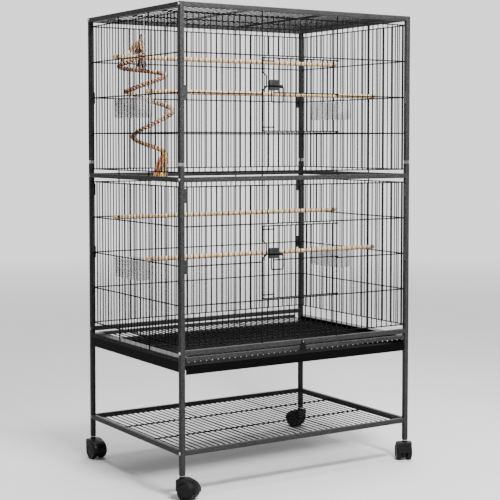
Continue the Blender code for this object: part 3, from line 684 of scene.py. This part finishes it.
# ---- Side frames, cross rails, splices and bolts ----
def add_hook_plates(shape, side, heights):
    """Plates that stand inward from both posts, flush with the front and back faces."""
    chamfer = 0.003
    width, half, sheet = 0.0095, 0.019, 0.002
    outline = [
        (-0.001, -half), (width - chamfer, -half), (width, -half + chamfer),
        (width, half - chamfer), (width - chamfer, half), (-0.001, half),
    ]
    outline = [(-side * x, y) for x, y in outline]
    for front in (-1, 1):
        for z in heights:
            place = (side * (HALF_X - HALF_TUBE), front * (HALF_Y + DRAWN_TUBE / 2 - sheet / 2), z)
            slab(shape, outline, sheet, Matrix.Translation(place) @ UPRIGHT)


def weld_bead(shape, x, y, z):
    """A run of small lumps along X across a joint."""
    lump = [(0, -0.0011), (0.0009, -0.0007), (0.0013, 0), (0.0009, 0.0007), (0, 0.0011)]
    for step in range(5):
        center = (x + (step / 4 - 0.5) * (TUBE - 0.003), y, z)
        lathe(shape, lump, 8, Matrix.Translation(center) @ Matrix.Rotation(step * 0.7, 4, "Z"))


def build_side_frame(side_name, side):
    """Posts and side rails, welded into one frame above the splices and one below them."""
    x = side * HALF_X
    upper = bmesh.new()
    foot = SPLICE_Z + SPLICE_SHOW / 2
    for y in (-HALF_Y, HALF_Y):
        square_tube(upper, (x, y, foot), (x, y, TOP_Z + DRAWN_TUBE / 2))
    square_tube(upper, (x, -HALF_Y, TOP_Z), (x, HALF_Y, TOP_Z))
    add_hook_plates(upper, side, (TIERS["upper"],))
    lower = bmesh.new()
    for y in (-HALF_Y, HALF_Y):
        square_tube(lower, (x, y, POST_FOOT_Z), (x, y, SPLICE_Z - SPLICE_SHOW / 2))
    for z in (SHELF_Z, MID_Z):
        square_tube(lower, (x, -HALF_Y, z), (x, HALF_Y, z))
    add_hook_plates(lower, side, (MID_Z - 0.043, TIERS["lower"]))
    half = DRAWN_TUBE / 2
    for shape, heights in ((upper, (TOP_Z,)), (lower, (SHELF_Z, MID_Z))):
        for z in heights:
            for y in (-1, 1):
                weld_bead(shape, x, y * (HALF_Y - half), z - half)
    for name, shape in ((f"upper_frame_{side_name}", upper), (f"lower_frame_{side_name}", lower)):
        show(f"{name}_tubes", shape, COAT, "cage", (name,))


def build_rails():
    """Level tubes between the side frames, in front and behind."""
    for level, z in (("top", TOP_Z), ("mid", MID_Z), ("base", BASE_Z), ("shelf", SHELF_Z)):
        for front, y in (("front", -HALF_Y), ("back", HALF_Y)):
            shape = bmesh.new()
            reach = HALF_X - HALF_TUBE
            square_tube(shape, (-reach, y, z), (reach, y, z))
            name = f"{level}_rail_{front}"
            show(f"{name}_tube", shape, COAT, "cage", (name,))


def build_bolts():
    """A domed bolt head on a washer at each end of each rail, on the outer faces of the posts."""
    head = [
        (0.0048, 0.0), (0.0048, 0.0008), (0.0040, 0.0008), (0.0040, 0.0014), (0.0033, 0.0026),
        (0.0019, 0.0033), (0.0017, 0.0033), (0.0015, 0.0021), (0.0, 0.0021),
    ]
    shape = bmesh.new()
    for z in (TOP_Z, MID_Z, BASE_Z, SHELF_Z):
        for y in (-HALF_Y, HALF_Y):
            for side in (-1, 1):
                start = Vector((side * (HALF_X + DRAWN_TUBE / 2), y, z))
                lathe(shape, head, 20, facing(start, start + Vector((side, 0, 0))))
    show("bolt_heads", shape, BOLT, "cage")


def coat_node(name, material, width):
    """Keeps a CAD node's shape, with its own material and eased edges."""
    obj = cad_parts[name]
    obj.data.materials.clear()
    obj.data.materials.append(material)
    bevel = obj.modifiers.new("eased edges", "BEVEL")
    bevel.width = width
    bevel.segments = 2
    bevel.limit_method = "ANGLE"
    bevel.angle_limit = math.radians(40)
    bevel.use_clamp_overlap = True


for side_name, side in SIDES.items():
    build_side_frame(side_name, side)
    coat_node(f"tray_runner_{side_name}", RUNNER, 0.0004)
    for front in ("front", "back"):
        coat_node(f"splice_{front}_{side_name}", ZINC, 0.0007)
build_rails()
build_bolts()
coat_node("tray", TRAY, 0.0005)
coat_node("catch_pin", ZINC, 0.0003)


# ---- Wire panels ----
def panel_frame(side, tier):
    """Turns a panel's own plane (x along it, y up, z outward) into the world."""
    places = {
        "front": (0, -HALF_Y, 0), "back": (0, HALF_Y, 180),
        "left": (-HALF_X, 0, 270), "right": (HALF_X, 0, 90),
    }
    x, y, turn = places[side]
    return Matrix.Translation((x, y, TIERS[tier])) @ turned(turn) @ UPRIGHT


def bar_x(index, count=FRONT_PITCHES):
    """Where a bar stands along a panel of so many pitches."""
    return (index - count / 2) * PITCH


def panel_runs(count, doorway, foot):
    """The wires of a panel: thin uprights, two heavy ones, and five level ones."""
    runs = []
    reach = count * PITCH / 2 - HALF_TUBE + SINK
    head = TIER / 2 - HALF_TUBE + SINK
    tip = 2 * ROW + 0.002
    sill = ROW - 0.0006
    thirds = (count // 3, 2 * count // 3)
    for index in range(1, count):
        x = bar_x(index, count)
        if index in thirds:
            runs.append((HEAVY, [(x, foot, 0), (x, head, 0)]))
        elif doorway and thirds[0] < index < thirds[1]:
            runs += [(THIN, [(x, -tip, 0), (x, -sill, 0)]), (THIN, [(x, sill, 0), (x, tip, 0)])]
        else:
            runs.append((THIN, [(x, -tip, 0), (x, tip, 0)]))
    inside = WELD - THIN - LEVEL
    for row in range(-2, 3):
        spans = [(-reach, reach)]
        if doorway and row == 0:
            stop = bar_x(thirds[0], count) + LEVEL
            spans = [(-reach, stop), (-stop, reach)]
        for start, end in spans:
            runs.append((LEVEL, [(start, row * ROW, inside), (end, row * ROW, inside)]))
    return runs


def build_panels():
    """Four panels to a tier. The lower side ones stand on the runners."""
    for tier in TIERS:
        for side in ("front", "back", "left", "right"):
            count = FRONT_PITCHES if side in ("front", "back") else SIDE_PITCHES
            foot = HALF_TUBE - TIER / 2 - SINK
            if tier == "lower" and side in ("left", "right"):
                foot = RUNNER_TOP_Z - TIERS["lower"]
            name = f"{tier}_panel_{side}"
            wires(f"{name}_wires", panel_runs(count, side == "front", foot), WIRE, "cage", replaces=(name,),
                  at=panel_frame(side, tier))


def bar_radius(index):
    """Of the wires across the whole front's width, two are heavy."""
    return HEAVY if index in FRONT_THIRDS else THIN


def build_grilles():
    """The roof and the shelf: wires along Y over two heavy ones along X."""
    reach_x = HALF_X - HALF_TUBE + SINK
    reach_y = HALF_Y - HALF_TUBE + SINK
    for name, rail_z, coating in (("top", TOP_Z, THIN_COATING), ("shelf", SHELF_Z, COATING)):
        runs = []
        z = rail_z + GRILLE_RISE
        for index in range(1, FRONT_PITCHES):
            x = bar_x(index)
            runs.append((bar_radius(index), [(x, -reach_y, z), (x, reach_y, z)]))
        below = z - THIN - HEAVY + WELD
        for y in (-reach_y / 3, reach_y / 3):
            runs.append((HEAVY, [(-reach_x, y, below), (reach_x, y, below)]))
        wires(f"{name}_grille_wires", runs, WIRE, "cage", replaces=(f"{name}_grille",), coating=coating)


build_panels()
build_grilles()


# ---- Doors and latches ----
# Measured in the front panel's plane, from the hinge wire and the tier's middle.
DOOR_PITCHES = FRONT_PITCHES // 3
DOOR_LEFT = -DOOR_PITCHES * PITCH
DOOR_TOP = ROW - 0.0065
DOOR_BOTTOM = -ROW + 0.0045
DOOR_MIDDLE = 0.0045
DOOR_PLANE = HEAVY + GAP + THIN
JOG = 0.0125                   # the door's free edge steps in beside the latch
JOG_TOP = 0.060
JOG_LOW = 0.0205
HINGE_SIDE = -0.0072           # where a level wire starts to wrap
BLOCK_BACK = DOOR_PLANE + THIN + GAP
BLOCK_DEPTH = 0.011
LATCH_PLANE = BLOCK_BACK + BLOCK_DEPTH / 2
LEVER_Y = 0.0215               # height of the ring's upper wire


def door_frame_at(tier):
    """The door's own plane, from its hinge wire."""
    return panel_frame("front", tier) @ Matrix.Translation((-DOOR_LEFT / 2, 0, 0))


def hinge_wrap(y, behind=False):
    """A level wire's end: it wraps once round the heavy wire, starting from the door's plane."""
    radius = 0.0038
    start = DOOR_PLANE - (2 * THIN - WELD if behind else 0)
    points = [(HINGE_SIDE, y, start)]
    for step in range(17):
        angle = math.radians(100 - 340 * step / 16)
        points.append((radius * math.cos(angle), y - 0.0018 * step / 16, radius * math.sin(angle)))
    return points


def door_runs():
    """A door's wires: the edge with its foot in one piece, two level ones, the bars, and two short ties."""
    z = DOOR_PLANE
    behind = z - THIN - LEVEL + WELD
    ahead = z + THIN + LEVEL - WELD
    head = DOOR_TOP + 0.002
    slope = 0.010
    edge = rounded_route([
        (DOOR_LEFT, head, z), (DOOR_LEFT, JOG_TOP, z), (DOOR_LEFT + JOG, JOG_TOP - slope, z),
        (DOOR_LEFT + JOG, JOG_LOW, z), (DOOR_LEFT, JOG_LOW - slope, z), (DOOR_LEFT, DOOR_BOTTOM, z),
        (HINGE_SIDE, DOOR_BOTTOM, z),
    ], 0.004)
    runs = [(LEVEL, edge[:-1] + hinge_wrap(DOOR_BOTTOM))]
    for start, y in ((DOOR_LEFT, DOOR_TOP), (DOOR_LEFT + 2 * PITCH, DOOR_MIDDLE)):
        runs.append((LEVEL, [(start - 0.001, y, behind), *hinge_wrap(y, True)]))
    for index in range(1, DOOR_PITCHES):
        x = DOOR_LEFT + index * PITCH
        runs.append((THIN, [(x, DOOR_BOTTOM - 0.0006, z), (x, head, z)]))
    for y in (-0.0915, 0.0915):
        runs.append((LEVEL, [(DOOR_LEFT - LEVEL, y, ahead), (DOOR_LEFT + 0.037, y, ahead)]))
    return runs


def latch_ring_runs():
    """Hook, upper wire, and a finger ring below, bent from one wire."""
    z = LATCH_PLANE
    right = DOOR_LEFT + 0.0635
    left = DOOR_LEFT + 0.0240
    low = -0.0215
    corners = [
        (DOOR_LEFT + 0.0005, 0.0045, z), (DOOR_LEFT + 0.0005, LEVER_Y, z), (right, LEVER_Y, z),
        (right, low, z), (left, low, z), (left, LEVER_Y - 0.0005, z),
    ]
    return [(LEVEL, rounded_route(corners, 0.005, 6))]


def build_latch_stop(tier):
    """Black sleeve on the ring's upper wire, with a ribbed thumb knob beside the block."""
    shape = bmesh.new()
    at = door_frame_at(tier) @ Matrix.Translation((DOOR_LEFT, LEVER_Y, LATCH_PLANE)) @ ALONG_X
    sleeve = 0.0021
    profile = [(0, 0.0128), (sleeve - 0.0004, 0.0128), (sleeve, 0.0132), (sleeve, 0.0500), (0.0034, 0.0503)]
    for rib in range(3):
        start = 0.0505 + rib * 0.0030
        profile += [
            (0.0046, start), (0.0049, start + 0.0006), (0.0049, start + 0.0018),
            (0.0046, start + 0.0024), (0.0038, start + 0.0026), (0.0038, start + 0.0029),
        ]
    profile += [(0.0030, 0.0600), (0, 0.0600)]
    lathe(shape, profile, 24, at)
    show(f"{tier}_latch_knob", shape, PLASTIC, f"{tier}_latch_ring")


def corner_cut(x0, y0, x1, y1, top, bottom):
    """Rectangle whose top and bottom corners are rounded by the two radii."""
    points = []
    corners = (
        (x1 - top, y1 - top, top), (x0 + top, y1 - top, top),
        (x0 + bottom, y0 + bottom, bottom), (x1 - bottom, y0 + bottom, bottom),
    )
    for index, (x, y, radius) in enumerate(corners):
        points += arc((x, y), radius, 90 * index, 90 * index + 90, 4 if radius > 0.001 else 1)
    return points


def build_latch_block(tier):
    """Moulded housing, hollow for the ring's travel, with a level slot across its front."""
    x0, x1 = DOOR_LEFT + 0.0150, DOOR_LEFT + 0.0490
    y0, y1 = 0.0105, 0.0395
    face = BLOCK_BACK + BLOCK_DEPTH
    wall = 0.0022
    slot = 0.0025
    inset = 0.0001
    big, small, fine = 0.004, 0.0008, 0.0006
    shape = bmesh.new()
    at = door_frame_at(tier)

    def plate(outline, low, high):
        slab(shape, outline, high - low, at @ Matrix.Translation((0, 0, (low + high) / 2)), 0.0005)

    plate(corner_cut(x0, y0, x1, y1, big, big), BLOCK_BACK, BLOCK_BACK + wall)
    plate(corner_cut(x0, LEVER_Y + slot, x1, y1, big, small), face - wall, face)
    plate(corner_cut(x0, y0, x1, LEVER_Y - slot, small, big), face - wall, face)
    walls = [
        (x0 + 0.003, y1 - wall, x1 - 0.003, y1 - inset),
        (x0 + 0.003, y0 + inset, x1 - 0.003, y0 + wall),
    ]
    for left in (x0 + inset, x1 - wall):
        for low, high in ((y0 + 0.003, LEVER_Y - slot), (LEVER_Y + 0.0125, y1 - 0.003)):
            walls.append((left, low, left + wall - inset, high))
    for sides in walls:
        plate(corner_cut(*sides, fine, fine), BLOCK_BACK + 0.001, face - 0.001)
    for step in range(4):
        y = LEVER_Y + slot + 0.0035 + step * 0.0028
        plate(corner_cut(x0 + 0.008, y, x1 - 0.008, y + 0.0012, 0.0005, 0.0005), face - 0.001, face + 0.0009)
    name = f"{tier}_latch_block"
    show(f"{name}_housing", shape, LATCH, f"{tier}_door", (name,))


for tier in TIERS:
    for name, runs in ((f"{tier}_door", door_runs()), (f"{tier}_latch_ring", latch_ring_runs())):
        suffix = "wires" if len(runs) > 1 else "wire"
        wires(f"{name}_{suffix}", runs, WIRE, name, replaces=(name,), resolution=3, at=door_frame_at(tier))
    build_latch_stop(tier)
    build_latch_block(tier)


# ---- Floor grate ----
GRATE_Z = 0.3720
GRATE_BAR = 0.011
FRONT_FACE_Y = -HALF_Y - HALF_TUBE
BACK_BAR_Y = HALF_Y + HALF_TUBE - GRATE_BAR
SLIDE_HALF = HALF_X - HALF_TUBE - 0.0033    # half width of what slides between the posts
CATCH_X = 0.005
CATCH_HALF = 0.0125


def build_grate():
    """Wires along Y under a bar at each end, with bright cut ends, and a catch tab in front."""
    half = GRATE_BAR / 2
    low = GRATE_Z + THIN - WELD
    bars = bmesh.new()
    tab = bmesh.new()
    ends = bmesh.new()
    runs = []
    front_y, back_y = FRONT_FACE_Y + 0.0008, BACK_BAR_Y + 0.0102
    dome = [(0.0016, 0), (0.0015, 0.0007), (0.0010, 0.0012), (0, 0.0014)]
    for index in range(1, FRONT_PITCHES):
        x = bar_x(index)
        runs.append((bar_radius(index), [(x, front_y, GRATE_Z), (x, back_y, GRATE_Z)]))
        if abs(x - CATCH_X) > CATCH_HALF + 0.0015:
            start = Vector((x, FRONT_FACE_Y + 0.0010, GRATE_Z))
            lathe(ends, dome, 10, facing(start, start - Vector((0, 0.001, 0))))
    for y in (-HALF_Y / 2, 0, HALF_Y / 2):
        z = low + THIN
        runs.append((THIN, [(-SLIDE_HALF, y, z), (SLIDE_HALF, y, z)]))
    wires("floor_grate_wires", runs, GRATE, "grate", replaces=("floor_grate",))
    # The back bar passes between the runners' flanges as the grate slides out.
    for y, reach in ((FRONT_FACE_Y + half, SLIDE_HALF - 0.0005), (BACK_BAR_Y + half, SLIDE_HALF - 0.0145)):
        square_tube(bars, (-reach, y, low + half), (reach, y, low + half), GRATE_BAR, 0.0012)
    show("floor_grate_bars", bars, COAT, "grate")
    pin_z = BASE_Z + 0.0005
    foot = low - 0.0010
    shoulder = foot + 0.002
    outline = [(-CATCH_HALF, foot), (CATCH_HALF, foot), (CATCH_HALF, shoulder)]
    outline += arc((0, pin_z), 0.0055, 20, 160, 10)
    outline.append((-CATCH_HALF, shoulder))
    at = Matrix.Translation((CATCH_X, FRONT_FACE_Y - 0.0012, 0)) @ UPRIGHT
    slab(tab, outline, 0.0012, at, 0.0003)
    eyelet = [
        (0.0026, -0.0008), (0.0034, -0.0008), (0.0036, -0.0004),
        (0.0036, 0.0004), (0.0034, 0.0008), (0.0026, 0.0008), (0.0026, -0.0008),
    ]
    lathe(tab, eyelet, 20, at @ Matrix.Translation((0, pin_z, 0)))
    show("floor_grate_catch_tab", tab, WIRE, "grate")
    show("floor_grate_wire_ends", ends, ZINC, "grate")


build_grate()


# ---- Perches ----
def build_perches():
    """Dowels through the side panels, each a little uneven, resting on a level wire at both ends."""
    reach = HALF_X + 0.014
    radius = 0.00635
    y_place = HALF_Y / 3 + PITCH / 2
    ends = [
        (0, -reach), (radius - 0.0012, -reach),
        (radius - 0.0003, -reach + 0.0005), (radius, -reach + 0.0014),
    ]
    for tier, middle in TIERS.items():
        for front, y, level in (("back", y_place, ROW), ("front", -y_place, 0.0)):
            shape = bmesh.new()
            body = []
            for step in range(1, 24):
                x = -reach + 2 * reach * step / 24
                body.append((radius * (1 + 0.012 * noise.noise(Vector((x * 9, y * 50, middle)))), x))
            profile = ends + body + [(r, -h) for r, h in reversed(ends)]
            lathe(shape, profile, 28, ALONG_X)
            name = f"{tier}_perch_{front}"
            obj = show(f"{name}_dowel", shape, WOOD, "cage", (name,))
            obj.location = (0, y, middle + level + LEVEL + GAP + radius)


build_perches()


# ---- Feeder cups ----
def cup_shape():
    """Open moulded cup with draft, rounded corners and a rolled rim. Back at x = 0, rim at z = 0."""
    deep, wide, tall = 0.058, 0.150, 0.058
    outside = [
        (0.010, -tall, 0.001), (0.0040, -tall + 0.0008, 0.003), (0.0018, -tall + 0.004, 0.006),
        (0.0006, -0.006, 0.008), (0.0, -0.0045, 0.008), (0.0, -0.0012, 0.008), (0.0006, 0.0, 0.008),
    ]
    inside = [
        (0.0018, 0.0, 0.007), (0.0022, -0.001, 0.0065), (0.0026, -0.006, 0.0065),
        (0.0038, -tall + 0.006, 0.005), (0.0060, -tall + 0.0026, 0.003), (0.012, -tall + 0.002, 0.001),
    ]
    shape = bmesh.new()
    rings = []
    for inset, height, radius in outside + inside:
        outline = rounded_rectangle(deep - 2 * inset, wide - 2 * inset, radius, 5)
        rings.append([shape.verts.new((x + deep / 2, y, height)) for x, y in outline])
    skin(shape, rings)
    return shape


def clip_shape():
    """Two strap hooks that go from the cup's back wall over the level wire."""
    shape = bmesh.new()
    foot, top = -0.012, 0.0082
    outline = [
        (0.0016, foot), (0.0016, top - 0.001), (0.0008, top + 0.0004), (-0.0006, top + 0.0012),
        (-0.0030, top + 0.0012), (-0.0046, top), (-0.0048, top - 0.0058), (-0.0034, top - 0.0058),
        (-0.0032, top - 0.0014), (-0.0004, top - 0.0014), (0.0002, top - 0.003), (0.0002, foot),
    ]
    for y in (-3 * PITCH, 3 * PITCH):
        slab(shape, outline, 0.0062, Matrix.Translation((0, y, 0)) @ UPRIGHT, 0.0003)
    return shape


def build_feeders():
    """Two cups to a tier, hung on the middle level wires of the side panels."""
    inner_face = HALF_X - THIN - GAP - 2 * LEVEL - GAP
    for tier, middle in TIERS.items():
        for side_name, side in SIDES.items():
            name = f"{tier}_feeder_{side_name}"
            place = (side * inner_face, 3.5 * PITCH, middle - LEVEL - 0.004)
            at = Matrix.Translation(place) @ turned(0 if side < 0 else 180)
            show(f"{name}_cup", cup_shape(), CUP, name, (name,), 50, at)
            show(f"{name}_clips", clip_shape(), WHITE, name, at=at)


build_feeders()


# ---- Casters ----
WHEEL_RADIUS = 0.025
TRAIL = 0.019                  # from the swivel axis to the axle
CASTER_TURN = {"front_left": -58, "front_right": 62, "back_left": -85, "back_right": 110}


def wheel_pair():
    """Both wheels and the axle between them, about the axle's middle."""
    half = [
        (0.0030, 0.0078), (0.0212, 0.0078), (0.0236, 0.0086), (0.0248, 0.0100), (0.0250, 0.0118),
        (0.0250, 0.0186), (0.0247, 0.0204), (0.0238, 0.0220), (0.0222, 0.0229), (0.0206, 0.0230),
        (0.0198, 0.0224), (0.0120, 0.0216), (0.0112, 0.0222), (0.0100, 0.0226), (0.0060, 0.0226),
        (0.0, 0.0226),
    ]
    profile = [(radius, -height) for radius, height in reversed(half)] + half
    shape = bmesh.new()
    lathe(shape, profile, 48, UPRIGHT)
    return shape


def hood_shape():
    """Hood over both wheels, with a shoulder under the post, a web between them and the stem's boss."""
    shape = bmesh.new()
    axle = (TRAIL, WHEEL_RADIUS)
    web = arc(axle, 0.0262, -35, 112, 22)
    web += [(0.0060, 0.0545), (-0.0072, 0.0545), (-0.0082, 0.0500), (-0.0078, 0.0330), (-0.0040, 0.0240)]
    web += arc(axle, 0.0200, 190, 320, 12)
    slab(shape, web, 0.0136, UPRIGHT, 0.0012)
    hood = arc(axle, 0.0290, -6, 72, 14)
    hood += arc((0.0120, 0.0500), 0.0080, 75, 95, 3)
    hood += arc((-0.0046, 0.0540), 0.0044, 95, 180, 5)
    hood += [(-0.0092, 0.0260), (-0.0074, 0.0248)]
    hood += arc(axle, 0.0262, 178, -6, 30)
    slab(shape, hood, 0.0410, UPRIGHT, 0.0008)
    lathe(shape, [(0, 0.0480), (0.0086, 0.0480), (0.0088, 0.0602), (0.0080, 0.0618), (0, 0.0618)], 24)
    return shape


def stem_shape():
    """The stem, which goes up inside the post, with the washer under the post's foot."""
    shape = bmesh.new()
    profile = [
        (0, 0.0600), (0.0040, 0.0600), (0.0040, 0.0624), (0.0064, 0.0624), (0.0067, 0.0630),
        (0.0067, 0.0642), (0.0064, 0.0648), (0.0040, 0.0648), (0.0040, 0.0965), (0.0032, 0.0972),
        (0, 0.0972),
    ]
    lathe(shape, profile, 24)
    return shape


def build_casters():
    for corner, turn in CASTER_TURN.items():
        front, side = corner.split("_")
        x = SIDES[side] * HALF_X
        y = -HALF_Y if front == "front" else HALF_Y
        at = Matrix.Translation((x, y, 0)) @ turned(turn)
        axle = at @ Matrix.Translation((TRAIL, 0, WHEEL_RADIUS))
        wheels, fork = f"caster_wheels_{corner}", f"caster_fork_{corner}"
        show(f"{wheels}_treads", wheel_pair(), PLASTIC, wheels, (wheels,), at=axle)
        show(f"{fork}_hood", hood_shape(), PLASTIC, fork, (fork,), at=at)
        show(f"{fork}_stem", stem_shape(), ZINC, fork, at=at)


build_casters()


# ---- Floor and light ----
DIM_SIDE = 0.25                # strength of the room's light: it comes mostly from behind the object
BRIGHT_SIDE = 1.5
BACKDROP = 1.5                 # and the room is evenly pale where it is seen
FLOOR_BOUNCE = 0.45            # how pale the floor is in the light that it returns


def build_floor():
    """A wide pale floor, which fades out far from the object."""
    shape = bmesh.new()
    bmesh.ops.create_grid(shape, x_segments=1, y_segments=1, size=30)
    mesh = bpy.data.meshes.new("studio_floor")
    shape.to_mesh(mesh)
    shape.free()
    n = Nodes("studio_floor")
    away = n.add("ShaderNodeVectorMath", operation="LENGTH")
    n.put(away.inputs[0], n.coordinates)
    fade = n.spread(away.outputs["Value"], 1.0, 0.0, 1.6, 7.0)
    pale = n.ramp(n.noise(1.5, 2.0), [(0.3, (0.80,) * 3), (0.7, (0.82,) * 3)])
    seen = n.add("ShaderNodeLightPath").outputs["Is Camera Ray"]
    color = n.mix(seen, (FLOOR_BOUNCE, FLOOR_BOUNCE, FLOOR_BOUNCE, 1.0), pale)
    n.shade(Base_Color=color, Roughness=0.8, Alpha=fade)
    mesh.materials.append(n.material)
    floor = bpy.data.objects.new("studio_floor", mesh)
    link(floor)


def build_room():
    """White light from all round, brighter from behind the object, with an even backdrop."""
    world = bpy.data.worlds.new("studio")
    world.use_nodes = True
    tree = world.node_tree
    way = tree.nodes.new("ShaderNodeTexCoord").outputs["Generated"]
    across = tree.nodes.new("ShaderNodeVectorMath")
    across.operation = "DOT_PRODUCT"
    across.inputs[1].default_value = (0.54, 0.84, 0.0)
    spread = tree.nodes.new("ShaderNodeMapRange")
    spread.interpolation_type = "SMOOTHSTEP"
    limits = {"From Min": 0.30, "From Max": 0.92, "To Min": DIM_SIDE, "To Max": BRIGHT_SIDE}
    for key, value in limits.items():
        spread.inputs[key].default_value = value
    tree.links.new(way, across.inputs[0])
    tree.links.new(across.outputs["Value"], spread.inputs["Value"])
    seen = tree.nodes.new("ShaderNodeMix")
    seen.inputs[3].default_value = BACKDROP
    tree.links.new(tree.nodes.new("ShaderNodeLightPath").outputs["Is Camera Ray"], seen.inputs[0])
    tree.links.new(spread.outputs["Result"], seen.inputs[2])
    tree.links.new(seen.outputs[0], tree.nodes["Background"].inputs["Strength"])
    tree.nodes["Background"].inputs["Color"].default_value = (1.0, 1.0, 1.0, 1.0)
    bpy.context.scene.world = world


build_floor()
build_room()
add_light("key", (-0.2, -1.9, 2.4), (0, 0, 1.3), 0.7, 150)
add_light("top", (0.4, 0.3, 3.8), (0, 0, 0.4), 3.2, 150)
